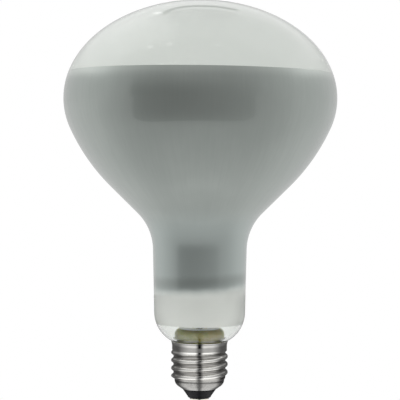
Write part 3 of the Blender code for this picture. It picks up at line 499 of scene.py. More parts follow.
tableGlow = {
    "reach": 6.0,
    "middle": math.radians(0.5),
    "rings": ((28, 0.75), (45, 0.62), (65, 0.50), (111, 0.45), (200, 0.41)),
    "ringReach": 250,
    "backLevel": 0.63,
    "backTurn": (math.radians(50), math.radians(115)),
    "roomLevels": (0.17, 0.25),
    "roomTurn": (math.radians(-15), math.radians(45)),
    "roomFrom": 0.215,
    "roomCorner": 0.12,
    "roomMiddle": math.radians(-5.5),
    "roomHalf": math.radians(50),
    "sideCurve": 6,
    "cornerCurve": 3,
    "roomEdge": (0.85, 1.15),
    "discLevels": (1.35, 0.4),
    "discEdge": (26 * mm, 31 * mm),
    "discEnd": (40 * mm, 43 * mm),
    "rayEnd": (40 * mm, 50 * mm),
    "fallTurn": (math.radians(60), math.radians(100)),
    "fallTo": 0.12,
    "gapTurn": (math.radians(2), math.radians(18)),
    "gapShare": 0.2,
}


def roomShare(tree, table, azimuth, away):
    # the open front starts on the table as a rectangle with round corners
    corner = table["roomCorner"]
    aside = calc(tree, "ABSOLUTE", calc(tree, "SUBTRACT", azimuth, table["roomMiddle"]))
    aside = calc(tree, "POWER", calc(tree, "DIVIDE", aside, table["roomHalf"]), table["sideCurve"])
    short = calc(tree, "DIVIDE", calc(tree, "SUBTRACT", table["roomFrom"] + corner, away), corner)
    short = calc(tree, "POWER", calc(tree, "MAXIMUM", short, 0.0), table["cornerCurve"])
    return fade(tree, calc(tree, "ADD", aside, short), *table["roomEdge"], 1.0, 0.0)


def addTable(table):
    bm = bmesh.new()
    bmesh.ops.create_grid(bm, x_segments=1, y_segments=1, size=table["reach"])
    material, tree, glow, _ = glowMaterial("tableGloss", 1.0)
    place, parts = objectPlace(tree)
    away = distanceFromAxis(tree, place)
    azimuth = azimuthOf(tree, parts)
    turned = calc(tree, "ABSOLUTE", calc(tree, "SUBTRACT", azimuth, table["middle"]))
    rings = levelRamp(tree, away, table["ringReach"], table["rings"])
    level = over(tree, fade(tree, turned, *table["backTurn"]), rings, table["backLevel"])
    room = fade(tree, azimuth, *table["roomTurn"], *table["roomLevels"])
    level = over(tree, roomShare(tree, table, azimuth, away), level, room)
    # the disc beside the cap is lit for the cap alone, so only short rays find it bright
    ray = addNode(tree, "ShaderNodeLightPath").outputs["Ray Length"]
    fall = fade(tree, turned, *table["fallTurn"], 1.0, table["fallTo"])
    gap = fade(tree, turned, *table["gapTurn"], table["gapShare"], 1.0)
    disc = times(tree, fade(tree, away, *table["discEdge"], *table["discLevels"]), fall, gap)
    near = fade(tree, away, *table["discEnd"], 1.0, 0.0)
    near = times(tree, near, fade(tree, ray, *table["rayEnd"], 1.0, 0.0))
    tree.links.new(over(tree, near, level, disc), glow.inputs["Strength"])
    glossOnly(stageObject(bm, "tableGloss", material))


addTable(tableGlow)


# Ring of panels round the cap, seen from inside: bright beside a dark gap in front, dark behind

capPanels = {
    "radius": 40 * mm,
    "top": 48 * mm,
    "segments": 96,
    "levels": ((5, 0.45), (9, 1.0), (14, 0.85), (17, 0.5), (26, 0.5), (32, 1.4)),
    "levelReach": 48,
    "middle": math.radians(0.5),
    "fallTurn": (math.radians(36), math.radians(92)),
    "fallTo": 0.2,
    "gapTurn": (math.radians(2), math.radians(17)),
    "gapLevel": 0.34,
    "gapRise": (18 * mm, 27.5 * mm),
    "gapSoft": (2 * mm, 3.5 * mm),
    "rayFrom": (21.5 * mm, 24.5 * mm),
    "lidRadius": 21.8 * mm,
    "lidLevel": 0.58,
}


def addPanels(panels):
    bm = bmesh.new()
    radius, top = panels["radius"], panels["top"]
    bmesh.ops.create_cone(
        bm, cap_ends=False, segments=panels["segments"], radius1=radius, radius2=radius, depth=top
    )
    bmesh.ops.translate(bm, vec=(0, 0, top / 2), verts=bm.verts)
    material, tree, glow, output = glowMaterial("collarGloss", 1.0)
    _, parts = objectPlace(tree)
    azimuth = azimuthOf(tree, parts)
    turned = calc(tree, "ABSOLUTE", calc(tree, "SUBTRACT", azimuth, panels["middle"]))
    notch = between(tree, parts[2], *panels["gapRise"], *panels["gapSoft"])
    dim = times(tree, notch, panels["gapLevel"])
    gap = fade(tree, turned, *panels["gapTurn"], dim, 1.0)
    level = levelRamp(tree, parts[2], panels["levelReach"], panels["levels"])
    fall = fade(tree, turned, *panels["fallTurn"], 1.0, panels["fallTo"])
    tree.links.new(times(tree, level, fall, gap), glow.inputs["Strength"])
    # the glass above the cap stands nearer to the panels and looks through them
    ray = addNode(tree, "ShaderNodeLightPath").outputs["Ray Length"]
    far = fade(tree, ray, *panels["rayFrom"])
    glowByShare(tree, glow, output, times(tree, backSide(tree), far))
    glossOnly(stageObject(bm, "capCollar", material))


def addLid(panels):
    # hides the panels from the bowl above, and isn't there for the cap below
    bm = bmesh.new()
    first = bm.verts.new((panels["lidRadius"], 0, panels["top"]))
    straightFrom(bm, first, (panels["radius"] - panels["lidRadius"], 0))
    turn(bm, panels["segments"])
    if sum(face.normal.z for face in bm.faces) < 0:
        bmesh.ops.reverse_faces(bm, faces=bm.faces)
    material, tree, glow, output = glowMaterial("lidGloss", panels["lidLevel"])
    glowByShare(tree, glow, output, frontSide(tree))
    glossOnly(stageObject(bm, "collarLid", material))


addPanels(capPanels)
addLid(capPanels)
print("floor, table light and panels set")


# Blown glass envelope: frost and mirror coat lie on its inside and show through a clear skin

glass = {
    "diameter": 125 * mm,
    "domeHeight": 44.8 * mm,
    "bellyRadius": 33.2 * mm,
    "bellyTurn": math.radians(24.4),
    "bowlAngle": math.radians(45.3),
    "bowlStraight": 17.5 * mm,
    "throatRadius": 23.9 * mm,
    "neckDiameter": 41.8 * mm,
    "neckTaper": math.radians(1.25),
    "neckLength": 29.3 * mm,
    "shoulderRadius": 14.9 * mm,
    "sealFillet": 2.2 * mm,
    "sealTube": 0.8 * mm,
    "wall": 0.9 * mm,
    "rimRadius": 12.4 * mm,
    "segments": 160,
    "coatTop": 149.9 * mm,
    "coatTilt": math.radians(0.45),
    "coatSplit": 76 * mm,
    "frostFoot": 35.15 * mm,
}

films = {
    "domeTone": (0.83, 0.875, 0.825),
    "domeInside": (0.88, 0.90, 0.87),
    "coatTones": ((0.45, 0.50, 0.468), (0.49, 0.54, 0.506)),
    "streakTone": (0.43, 0.476, 0.447),
    "streakShare": 0.16,
    # painted light: a lighter tone under the coat's upper edge at the sides
    "edgeLightTone": (0.74, 0.79, 0.74),
    "edgeLightShares": (0.26, 0.6),
    "edgeLightAside": (38 * mm, 60 * mm),
    "edgeLightDepth": 5 * mm,
    # painted light: a lighter coat tone for the neck
    "neckLitTone": (0.525, 0.592, 0.568),
    "neckLitRise": (77 * mm, 91 * mm),
    "neckFoot": 50.8 * mm,
    "neckSoft": 2.8 * mm,
    "neckLean": -0.05,
    "neckRagged": 1.2 * mm,
    "ringTone": (0.40, 0.45, 0.428),
    "ringRise": (0.8, 2.4),
    "ringSoft": 2 * mm,
    "frostTones": ((0.87, 0.90, 0.85), (0.91, 0.94, 0.89)),
    "neckInside": (0.95, 0.96, 0.94),
    "insideTones": ((0.80, 0.81, 0.80), (0.87, 0.88, 0.87)),
    "clearTone": (0.925, 0.94, 0.92),
    "mirrorIor": 1.9,
    "glassIor": 1.5,
}


def glassLevels(glass):
    # heights and radii where one arc of the outline meets the next
    neck = glass["neckDiameter"] / 2
    taper, bowl, belly = glass["neckTaper"], glass["bowlAngle"], glass["bellyTurn"]
    seal = math.acos(math.cos(taper) - (neck - glass["rimRadius"]) / glass["shoulderRadius"])
    shoulderTop = fits["capHeight"] + glass["shoulderRadius"] * (math.sin(seal) - math.sin(taper))
    run = glass["neckLength"]
    throatFoot = Vector((neck + run * math.sin(taper), shoulderTop + run * math.cos(taper)))
    bowlFoot = throatFoot + glass["throatRadius"] * Vector(
        (math.cos(taper) - math.cos(bowl), math.sin(bowl) - math.sin(taper))
    )
    bowlTop = bowlFoot + glass["bowlStraight"] * Vector((math.sin(bowl), math.cos(bowl)))
    side = glass["diameter"] / 2 - glass["bellyRadius"] * (1 - math.cos(belly)) - bowlTop.x
    sideRadius = side / (math.cos(belly) - math.cos(bowl))
    widest = bowlTop.y + sideRadius * (math.sin(bowl) - math.sin(belly))
    widest += glass["bellyRadius"] * math.sin(belly)
    return seal, sideRadius, widest


def glassOutline(bm, glass):
    seal, sideRadius, widest = glassLevels(glass)
    half = glass["diameter"] / 2
    top = bm.verts.new((0, 0, widest + half))
    side = arcFrom(bm, top, (0, widest), math.pi / 2, 40)
    squash = Matrix.Scale(glass["domeHeight"] / half, 4, (0, 0, 1))
    middle = Matrix.Translation((0, 0, widest))
    bmesh.ops.transform(bm, matrix=middle @ squash @ middle.inverted(), verts=bm.verts)
    taper, bowl, belly = glass["neckTaper"], glass["bowlAngle"], glass["bellyTurn"]
    vert = arcFrom(bm, side, (half - glass["bellyRadius"], widest), belly, 14)
    centre = (vert.co.x - sideRadius * math.cos(belly), vert.co.z + sideRadius * math.sin(belly))
    vert = arcFrom(bm, vert, centre, bowl - belly, 14)
    run = glass["bowlStraight"]
    vert = straightFrom(bm, vert, (-run * math.sin(bowl), -run * math.cos(bowl)), 3)
    throat = glass["throatRadius"]
    centre = (vert.co.x + throat * math.cos(bowl), vert.co.z - throat * math.sin(bowl))
    vert = arcFrom(bm, vert, centre, taper - bowl, 16)
    run = glass["neckLength"]
    vert = straightFrom(bm, vert, (-run * math.sin(taper), -run * math.cos(taper)), 4)
    shoulder = glass["shoulderRadius"]
    centre = (vert.co.x - shoulder * math.cos(taper), vert.co.z + shoulder * math.sin(taper))
    vert = arcFrom(bm, vert, centre, seal - taper, 16)
    fillet = glass["sealFillet"]
    centre = (vert.co.x + fillet * math.cos(seal), vert.co.z - fillet * math.sin(seal))
    vert = arcFrom(bm, vert, centre, -seal, 6)
    return straightFrom(bm, vert, (0, -glass["sealTube"]))


def glaze(shader, rough, ior):
    # the outer skin of the glass over the film
    shader.inputs["Coat Weight"].default_value = 1.0
    shader.inputs["Coat Roughness"].default_value = rough
    shader.inputs["Coat IOR"].default_value = ior


def frostMaterial(name, colour, roughness, transmission):
    material, tree, shader = newMaterial(name)
    place, _ = objectPlace(tree)
    cloud = noiseAt(tree, place, 22, 3)
    grain = noiseAt(tree, place, 900, 2)
    darker = tuple(0.96 * c for c in colour)
    paint(tree, shader, cloud, darker, colour)
    rough = fade(tree, grain, 0.2, 0.8, roughness - 0.05, roughness + 0.05)
    tree.links.new(rough, shader.inputs["Roughness"])
    tree.links.new(bumpFrom(tree, grain, 0.1, 0.02 * mm), shader.inputs["Normal"])
    shader.inputs["Transmission Weight"].default_value = transmission
    shader.inputs["IOR"].default_value = films["glassIor"]
    glaze(shader, 0.03, films["glassIor"])
    return material


def mirrorMaterial(glass, films):
    # vapour coat seen through the glass: satin grey metal, with fine streaks down the bowl
    material, tree, shader = newMaterial("mirrorCoat")
    place, parts = objectPlace(tree)
    azimuth = calc(tree, "ARCTAN2", parts[0], parts[1])
    cosine, sine = calc(tree, "COSINE", azimuth), calc(tree, "SINE", azimuth)
    rise = calc(tree, "MULTIPLY", parts[2], 1.5)
    around = addNode(tree, "ShaderNodeCombineXYZ", {0: cosine, 1: sine, 2: rise}).outputs[0]
    streak = noiseAt(tree, around, 45, 2, 0.6)
    base = mottle(tree, noiseAt(tree, place, 30, 3), *films["coatTones"])
    streaks = fade(tree, streak, 0.35, 0.65, 0, films["streakShare"])
    base = blendColours(tree, streaks, base, films["streakTone"])
    # painted light: the coat is made lighter up the neck, standing in for the light it reflects
    # there
    neck = fade(tree, parts[2], *films["neckLitRise"], 1.0, 0.0)
    base = blendColours(tree, neck, base, films["neckLitTone"])
    # painted light: under its upper edge the coat is made lighter and less metallic, most of all at
    # the left and right sides
    top = glass["coatTop"]
    edgeLight = fade(tree, calc(tree, "ABSOLUTE", parts[0]), *films["edgeLightAside"], *films["edgeLightShares"])
    edgeLight = times(tree, edgeLight, fade(tree, parts[2], top - films["edgeLightDepth"], top))
    tree.links.new(blendColours(tree, edgeLight, base, films["edgeLightTone"]), shader.inputs["Base Color"])
    roughen(tree, shader, streak, 0.36, 0.42)
    tree.links.new(fade(tree, edgeLight, 0, 1, 0.9, 0.3), shader.inputs["Metallic"])
    # the glass and the smooth face of the film behind it mirror together
    glaze(shader, 0.03, films["mirrorIor"])
    return material


def neckMaterial(films):
    # the coat thins out over the foot of the neck, under a darker ring, and leaves a frosted band
    material, tree, shader = newMaterial("neckFrost")
    place, parts = objectPlace(tree)
    ragged = calc(tree, "SUBTRACT", noiseAt(tree, place, 180, 3), 0.5)
    uneven = calc(tree, "MULTIPLY", ragged, films["neckRagged"])
    lean = calc(tree, "MULTIPLY", parts[0], films["neckLean"])
    level = calc(tree, "ADD", parts[2], calc(tree, "ADD", uneven, lean))
    foot, soft = films["neckFoot"], films["neckSoft"]
    coat = fade(tree, level, foot - soft, foot + soft)
    ringFoot, ringTop = (foot + soft * share for share in films["ringRise"])
    ring = between(tree, level, ringFoot, ringTop, films["ringSoft"])
    frost = mottle(tree, noiseAt(tree, place, 30, 3), *films["frostTones"])
    # painted light: the coated part of the neck takes the same lighter neck tone
    metal = blendColours(tree, ring, films["neckLitTone"], films["ringTone"])
    tree.links.new(blendColours(tree, coat, frost, metal), shader.inputs["Base Color"])
    tree.links.new(calc(tree, "MULTIPLY", coat, 0.9), shader.inputs["Metallic"])
    tree.links.new(fade(tree, coat, 0, 1, 0.6, 0.4), shader.inputs["Roughness"])
    tree.links.new(fade(tree, coat, 0, 1, 0.5, 0.0), shader.inputs["Transmission Weight"])
    glaze(shader, 0.14, films["mirrorIor"])
    return material


def clearGlass(name):
    material, tree, shader = newMaterial(name)
    place, _ = objectPlace(tree)
    waves = noiseAt(tree, place, 60, 1)
    tone = films["clearTone"]
    paint(tree, shader, waves, tone, tuple(0.99 * c for c in tone))
    tree.links.new(bumpFrom(tree, waves, 0.06, 0.2 * mm), shader.inputs["Normal"])
    shader.inputs["Transmission Weight"].default_value = 1.0
    shader.inputs["Roughness"].default_value = 0.02
    shader.inputs["IOR"].default_value = films["glassIor"]
    return material


def innerMirror(films):
    material, tree, shader = newMaterial("mirrorInside")
    place, _ = objectPlace(tree)
    cloud = noiseAt(tree, place, 40, 3)
    tree.links.new(blendColours(tree, cloud, *films["insideTones"]), shader.inputs["Base Color"])
    roughen(tree, shader, cloud, 0.16, 0.24)
    shader.inputs["Metallic"].default_value = 1.0
    return material


def zoneOf(face, glass):
    # 0 dome, 1 mirror coat, 2 neck, 3 clear shoulder, in the order of the materials outside
    centre = face.calc_center_median()
    tilted = glass["coatTop"] - centre.x * math.tan(glass["coatTilt"])
    if centre.z > tilted:
        return 0
    if centre.z > glass["coatSplit"]:
        return 1
    return 2 if centre.z > glass["frostFoot"] else 3


def makeBulbGlass(glass, films):
    bm = bmesh.new()
    glassOutline(bm, glass)
    turn(bm, glass["segments"])
    tilt = Vector((math.sin(glass["coatTilt"]), 0, math.cos(glass["coatTilt"])))
    level = Vector((0, 0, 1))
    for border, normal in (("coatTop", tilt), ("coatSplit", level), ("frostFoot", level)):
        bmesh.ops.bisect_plane(
            bm,
            geom=bm.verts[:] + bm.edges[:] + bm.faces[:],
            dist=1e-6,
            plane_co=(0, 0, glass[border]),
            plane_no=normal,
        )
    for face in bm.faces:
        face.material_index = zoneOf(face, glass)
    bmesh.ops.recalc_face_normals(bm, faces=bm.faces)
    dome = frostMaterial("domeFrost", films["domeTone"], 0.55, 0.25)
    clear = clearGlass("shoulderGlass")
    outside = [dome, mirrorMaterial(glass, films), neckMaterial(films), clear]
    domeInside = frostMaterial("domeInside", films["domeInside"], 0.6, 0.4)
    neckInside = frostMaterial("neckInside", films["neckInside"], 0.6, 0.9)
    inside = [domeInside, innerMirror(films), neckInside, clear]
    piece = pieceFrom(bm, "bulbGlass", outside + inside, 60)
    wall = piece.modifiers.new("wall", "SOLIDIFY")
    wall.thickness = glass["wall"]
    wall.offset = -1
    wall.use_even_offset = True
    wall.material_offset = len(outside)
    seat(piece, "bulb_glass", "glass_envelope")


makeBulbGlass(glass, films)
print("glass envelope turned")


# Screw cap, rolled from thin nickel-plated sheet

cap = {
    "rimDiameter": 26.1 * mm,
    "skirtDiameter": 25.2 * mm,
    "skirtHeight": 3.6 * mm,
    "flareHeight": 2.4 * mm,
    "flareSteps": 8,
    "threadDiameter": 26.1 * mm,
    "pitch": 3.629 * mm,
    "depth": 1.095 * mm,
    "fade": 1.6 * mm,
    "crestDrop": 7.0 * mm,
    "edgeHeight": 4.9 * mm,
    "openingDiameter": 16.1 * mm,
    "footDiameter": 22.9 * mm,
    "footBend": 3.6 * mm,
    "footAngle": math.radians(55),
    "rowHeight": 0.16 * mm,
    "segments": 128,
    "plateTones": ((0.74, 0.73, 0.70), (0.82, 0.81, 0.78)),
    # painted shade for the thread roots
    "rootShadeTone": (0.40, 0.39, 0.37),
    "rootShadeShare": 0.35,
    "rootShadeRise": (22.4 * mm, 23.2 * mm),
    "dullTones": ((0.27, 0.265, 0.255), (0.40, 0.395, 0.38)),
    "dullRise": (9.4 * mm, 10.6 * mm),
}


def capLevels(cap):
    coneRadius = cap["footDiameter"] / 2 - cap["footBend"] * (1 - math.cos(cap["footAngle"]))
    edge = cap["openingDiameter"] / 2
    coneTop = cap["edgeHeight"] + (coneRadius - edge) / math.tan(cap["footAngle"])
    footTop = coneTop + cap["footBend"] * math.sin(cap["footAngle"])
    return coneRadius, coneTop, footTop, fits["capHeight"] - cap["skirtHeight"]


def threadRadius(cap, fromCrest):
    quarter, halfDepth = cap["pitch"] / 4, cap["depth"] / 2
    arc = (quarter**2 + halfDepth**2) / (2 * halfDepth)
    fromCrest = abs((fromCrest + cap["pitch"] / 2) % cap["pitch"] - cap["pitch"] / 2)
    if fromCrest <= quarter:
        return cap["threadDiameter"] / 2 - arc + math.sqrt(arc**2 - fromCrest**2)
    root = cap["threadDiameter"] / 2 - cap["depth"]
    return root + arc - math.sqrt(arc**2 - (cap["pitch"] / 2 - fromCrest) ** 2)


def smoothStep(share):
    share = min(max(share, 0.0), 1.0)
    return share * share * (3 - 2 * share)


def rollThread(bm, cap, footTop, threadTop):
    # pushes each vertex of the plain band out or in to the right-hand helix
    crestTop = fits["capHeight"] - cap["crestDrop"]
    for vert in bm.verts:
        x, y, z = vert.co
        if not footTop < z < threadTop:
            continue
        crest = crestTop + cap["pitch"] * (math.atan2(y, x) % math.tau) / math.tau
        depth = smoothStep((z - footTop) / cap["fade"]) * smoothStep((threadTop - z) / cap["fade"])
        plain = math.hypot(x, y)
        radius = plain + (threadRadius(cap, z - crest) - plain) * depth
        vert.co.x, vert.co.y = x * radius / plain, y * radius / plain


def nickelMaterial(cap):
    # bright plate on the crests, painted shade darkening the thread roots, dull tumbled grain on
    # the foot
    material, tree, shader = newMaterial("nickelPlate")
    place, parts = objectPlace(tree)
    grain = noiseAt(tree, place, 2600, 2)
    smear = noiseAt(tree, place, 260, 3)
    away = distanceFromAxis(tree, place)
    foot = fade(tree, parts[2], *cap["dullRise"], 1.0, 0.0)
    crest, depth = cap["threadDiameter"] / 2, cap["depth"]
    # painted shade: the thread roots are darkened below the skirt
    root = fade(tree, away, crest - depth, crest - cap["rootShadeShare"] * depth, 1.0, 0.0)
    root = times(tree, root, fade(tree, parts[2], *cap["rootShadeRise"], 1.0, 0.0))
    bright = mottle(tree, smear, *cap["plateTones"])
    bright = blendColours(tree, root, bright, cap["rootShadeTone"])
    dull = mottle(tree, grain, *cap["dullTones"])
    tree.links.new(blendColours(tree, foot, bright, dull), shader.inputs["Base Color"])
    shine = fade(tree, smear, 0.3, 0.7, 0.09, 0.14)
    rough = calc(tree, "ADD", shine, calc(tree, "MULTIPLY", foot, 0.14))
    tree.links.new(rough, shader.inputs["Roughness"])
    strength = fade(tree, foot, 0, 1, 0.03, 0.3)
    tree.links.new(bumpFrom(tree, grain, strength, 0.03 * mm), shader.inputs["Normal"])
    shader.inputs["Metallic"].default_value = 1.0
    return material


def makeCapShell(cap):
    coneRadius, coneTop, footTop, threadTop = capLevels(cap)
    bm = bmesh.new()
    edge = cap["openingDiameter"] / 2
    vert = bm.verts.new((edge, 0, cap["edgeHeight"]))
    vert = straightFrom(bm, vert, (coneRadius - edge, coneTop - cap["edgeHeight"]), 8)
    centre = (cap["footDiameter"] / 2 - cap["footBend"], footTop)
    vert = arcFrom(bm, vert, centre, -cap["footAngle"], 10)
    rise = threadTop - footTop
    rows = round(rise / cap["rowHeight"])
    vert = straightFrom(bm, vert, ((cap["skirtDiameter"] - cap["footDiameter"]) / 2, rise), rows)
    vert = straightFrom(bm, vert, (0, cap["skirtHeight"] - cap["flareHeight"]), 4)
    steps = cap["flareSteps"]
    for step in range(steps):
        # the rim flares out along a parabola
        grow = ((step + 1) ** 2 - step**2) / steps**2
        width = (cap["rimDiameter"] - cap["skirtDiameter"]) / 2 * grow
        vert = straightFrom(bm, vert, (width, cap["flareHeight"] / steps))
    turn(bm, cap["segments"])
    rollThread(bm, cap, footTop, threadTop)
    # the normals of the open tube point outwards before it gets its sheet
    if sum(face.normal.dot(face.calc_center_median() * Vector((1, 1, 0))) for face in bm.faces) < 0:
        bmesh.ops.reverse_faces(bm, faces=bm.faces)
    piece = pieceFrom(bm, "capShell", [nickelMaterial(cap)], 50)
    sheet = piece.modifiers.new("sheet", "SOLIDIFY")
    sheet.thickness = fits["sheet"]
    sheet.offset = -1
    sheet.use_even_offset = True
    seat(piece, "nickel_plate", "screw_shell")


makeCapShell(cap)
print("screw shell rolled")


# Black glass insulator and the contact under it

base = {
    "insulatorDiameter": 15.3 * mm,
    "tipDiameter": 10.8 * mm,
    "tipRound": 0.6 * mm,
    "top": 8.2 * mm,
    "bore": 3.0 * mm,
    "contactDiameter": 8.8 * mm,
    "contactThickness": 0.5 * mm,
    "contactEdge": 0.15 * mm,
    "shankDiameter": 2.0 * mm,
    "shankTop": 3.0 * mm,
    "coneSteps": 8,
    "segments": 96,
    "glassTones": ((0.006, 0.006, 0.007), (0.011, 0.011, 0.012)),
    "contactTones": ((0.60, 0.57, 0.50), (0.72, 0.69, 0.62)),
}


def blackGlassMaterial(base):
    material, tree, shader = newMaterial("blackGlass")
    place, _ = objectPlace(tree)
    pores = noiseAt(tree, place, 1500, 2)
    ripple = noiseAt(tree, place, 300, 2)
    tone = blendColours(tree, fade(tree, pores, 0.35, 0.65), *base["glassTones"])
    tree.links.new(tone, shader.inputs["Base Color"])
    roughen(tree, shader, ripple, 0.36, 0.48)
    tree.links.new(bumpFrom(tree, ripple, 0.25, 0.06 * mm), shader.inputs["Normal"])
    shader.inputs["Specular IOR Level"].default_value = 0.09
    return material


def brassMaterial(base):
    material, tree, shader = newMaterial("contactMetal")
    place, _ = objectPlace(tree)
    scuff = noiseAt(tree, place, 700, 4, 0.6)
    paint(tree, shader, scuff, *base["contactTones"])
    roughen(tree, shader, scuff, 0.2, 0.38)
    shader.inputs["Metallic"].default_value = 1.0
    return material


def footRadiusAt(cap, height):
    # outer radius of the shell's foot: a cone, then its bend
    coneRadius, coneTop, footTop, _ = capLevels(cap)
    if height <= coneTop:
        share = max(height - cap["edgeHeight"], 0) / (coneTop - cap["edgeHeight"])
        return cap["openingDiameter"] / 2 + (coneRadius - cap["openingDiameter"] / 2) * share
    drop = min(max(footTop - height, 0), cap["footBend"])
    return cap["footDiameter"] / 2 - cap["footBend"] + math.sqrt(cap["footBend"] ** 2 - drop**2)


def makeInsulator(base, cap):
    bm = bmesh.new()
    foot = base["contactThickness"] + fits["seatGap"]
    tip = base["tipDiameter"] / 2
    vert = bm.verts.new((base["bore"] / 2, 0, foot))
    first = vert
    vert = straightFrom(bm, vert, (tip - base["tipRound"] - base["bore"] / 2, 0))
    vert = arcFrom(bm, vert, (vert.co.x, foot + base["tipRound"]), -math.pi / 2, 8)
    level = cap["edgeHeight"] - fits["seatGap"]
    vert = straightFrom(bm, vert, (base["insulatorDiameter"] / 2 - vert.co.x, level - vert.co.z), 6)
    inset = (fits["sheet"] + fits["seatGap"]) / math.cos(cap["footAngle"])
    steps = base["coneSteps"]
    for step in range(steps + 1):
        height = cap["edgeHeight"] + (base["top"] - cap["edgeHeight"]) * step / steps
        radius = footRadiusAt(cap, height) - inset
        vert = straightFrom(bm, vert, (radius - vert.co.x, height - vert.co.z))
    vert = straightFrom(bm, vert, (base["bore"] / 2 - vert.co.x, 0))
    bm.edges.new((vert, first))
    turn(bm, base["segments"])
    piece = pieceFrom(bm, "capInsulator", [blackGlassMaterial(base)], 35)
    seat(piece, "black_glass", "cap_insulator")


def makeContact(base):
    bm = bmesh.new()
    radius, shank = base["contactDiameter"] / 2, base["shankDiameter"] / 2
    edge, thickness = base["contactEdge"], base["contactThickness"]
    vert = bm.verts.new((0, 0, 0))
    vert = straightFrom(bm, vert, (radius - edge, 0), 3)
    vert = arcFrom(bm, vert, (radius - edge, edge), -math.pi / 2, 5)
    vert = straightFrom(bm, vert, (0, thickness - edge))
    vert = straightFrom(bm, vert, (shank - radius, 0))
    vert = straightFrom(bm, vert, (0, base["shankTop"] - thickness))
    straightFrom(bm, vert, (-shank, 0))
    turn(bm, base["segments"])
    piece = pieceFrom(bm, "contactButton", [brassMaterial(base)], 35)
    seat(piece, "contact_metal", "centre_contact")


makeInsulator(base, cap)
makeContact(base)
print("insulator and contact turned")


# Glass stem: flare, exhaust tube, pinch, post and bead, with the amber film that lines the flare

stem = {
    "flareDiameter": 23.2 * mm,
    "flareBend": 3.0 * mm,
    "flareWall": 0.8 * mm,
    "exhaustDiameter": 2.8 * mm,
    "postDiameter": 3.0 * mm,
    "beadDiameter": 4.8 * mm,
    "beadHeight": 1.4 * mm,
    "tipHeight": 2.2 * mm,
    "pinchWidth": 7.2 * mm,
    "pinchDepth": 3.3 * mm,
    "pinchHeight": 9.0 * mm,
    "pinchRound": 0.8 * mm,
    "hubThickness": 0.5 * mm,
    "flareHeight": 5.0 * mm,
    "segments": 128,
    "pinchSegments": 48,
    "beadSteps": 8,
    "ceilingTurn": -0.3,
    "roofTurn": 0.97,
    "slack": 0.01 * mm,
    "filmTones": ((0.72, 0.57, 0.05), (0.78, 0.72, 0.16), (0.58, 0.62, 0.07)),
    # painted light: near-white metal for the flare's flat roof
    "roofLightTones": ((0.95, 0.96, 0.91), (0.98, 0.985, 0.95)),
}


def filmMaterial(name, dark, light, green):
    # lacquered film with uneven tone: browner in patches, greener between them
    material, tree, shader = newMaterial(name)
    place, _ = objectPlace(tree)
    patch = noiseAt(tree, place, 210, 2, 0.5, (1, 1, 0.6))
    fine = noiseAt(tree, place, 900, 3)
    tone = blendColours(tree, fade(tree, patch, 0.38, 0.62), dark, green)
    tone = blendColours(tree, fade(tree, fine, 0.35, 0.75, 0, 0.5), tone, light)
    tree.links.new(tone, shader.inputs["Base Color"])
    tree.links.new(fade(tree, fine, 0.3, 0.7, 0.3, 0.45), shader.inputs["Roughness"])
    tree.links.new(bumpFrom(tree, fine, 0.15, 0.05 * mm), shader.inputs["Normal"])
    shader.inputs["Specular IOR Level"].default_value = 0.15
    return material


def spunStem(stem, foot, roof, tip, hub):
    # closed outline in the XZ plane, from the exhaust tube's tip round the flare and up the post
    bm = bmesh.new()
    exhaust, post = stem["exhaustDiameter"] / 2, stem["postDiameter"] / 2
    bead, steps = stem["beadDiameter"] / 2, stem["beadSteps"]
    wall, bend, flare = stem["flareWall"], stem["flareBend"], stem["flareDiameter"] / 2
    ceiling, inner = roof - wall, bend - wall
    vert = bm.verts.new((0, 0, tip))
    vert = straightFrom(bm, vert, (exhaust * 0.4, 0))
    vert = arcFrom(bm, vert, (exhaust * 0.4, tip + exhaust * 0.6), -math.pi / 2, 6)
    vert = straightFrom(bm, vert, (0, ceiling - vert.co.z), 6)
    vert = straightFrom(bm, vert, (flare - bend - exhaust, 0), 6)
    vert = arcFrom(bm, vert, (flare - bend, ceiling - inner), math.pi / 2, 12)
    vert = straightFrom(bm, vert, (0, foot + wall / 2 - vert.co.z), 4)
    vert = arcFrom(bm, vert, (flare - wall / 2, foot + wall / 2), -math.pi, 8)
    vert = straightFrom(bm, vert, (0, roof - bend - vert.co.z), 4)
    vert = arcFrom(bm, vert, (flare - bend, roof - bend), -math.pi / 2, 14)
    vert = straightFrom(bm, vert, (post - vert.co.x, 0), 6)
    vert = straightFrom(bm, vert, (0, hub - stem["beadHeight"] - roof), 8)
    half = stem["beadHeight"] / 2
    for step in range(steps):
        # the bead swells like half a ring
        rise = half * (math.cos(math.pi * step / steps) - math.cos(math.pi * (step + 1) / steps))
        width = post + (bead - post) * math.sin(math.pi * (step + 1) / steps)
        vert = straightFrom(bm, vert, (width - vert.co.x, rise))
    top = hub + stem["hubThickness"] + stem["tipHeight"]
    vert = straightFrom(bm, vert, (0, top - post - vert.co.z), 2)
    arcFrom(bm, vert, (0, top - post), -math.pi / 2, 8)
    turn(bm, stem["segments"])
    return bm


def addPinch(bm, stem, roof):
    low, high = roof - stem["flareWall"] / 2, roof + stem["pinchHeight"]
    half, middle = stem["pinchWidth"] / 2, (high + low) / 2
    segments = stem["pinchSegments"]
    made = bmesh.ops.create_cone(
        bm, cap_ends=True, segments=segments, radius1=half, radius2=half, depth=high - low
    )
    verts = made["verts"]
    bmesh.ops.scale(bm, vec=(stem["pinchDepth"] / stem["pinchWidth"], 1, 1), verts=verts)
    bmesh.ops.translate(bm, vec=(0, 0, middle), verts=verts)
    top = {vert for vert in verts if vert.co.z > middle}
    edges = [edge for edge in bm.edges if top.issuperset(edge.verts)]
    bmesh.ops.bevel(
        bm,
        geom=edges,
        offset=stem["pinchRound"],
        segments=4,
        profile=0.5,
        affect="EDGES",
        material=-1,
    )


def shoulderInside(glass, radius):
    # height of the inner wall over the shoulder
    seal, _, _ = glassLevels(glass)
    curve = glass["shoulderRadius"]
    middle = fits["capHeight"] + curve * math.sin(seal)
    across = radius - (glass["neckDiameter"] / 2 - curve * math.cos(glass["neckTaper"]))
    return middle - math.sqrt((curve - glass["wall"]) ** 2 - across**2)


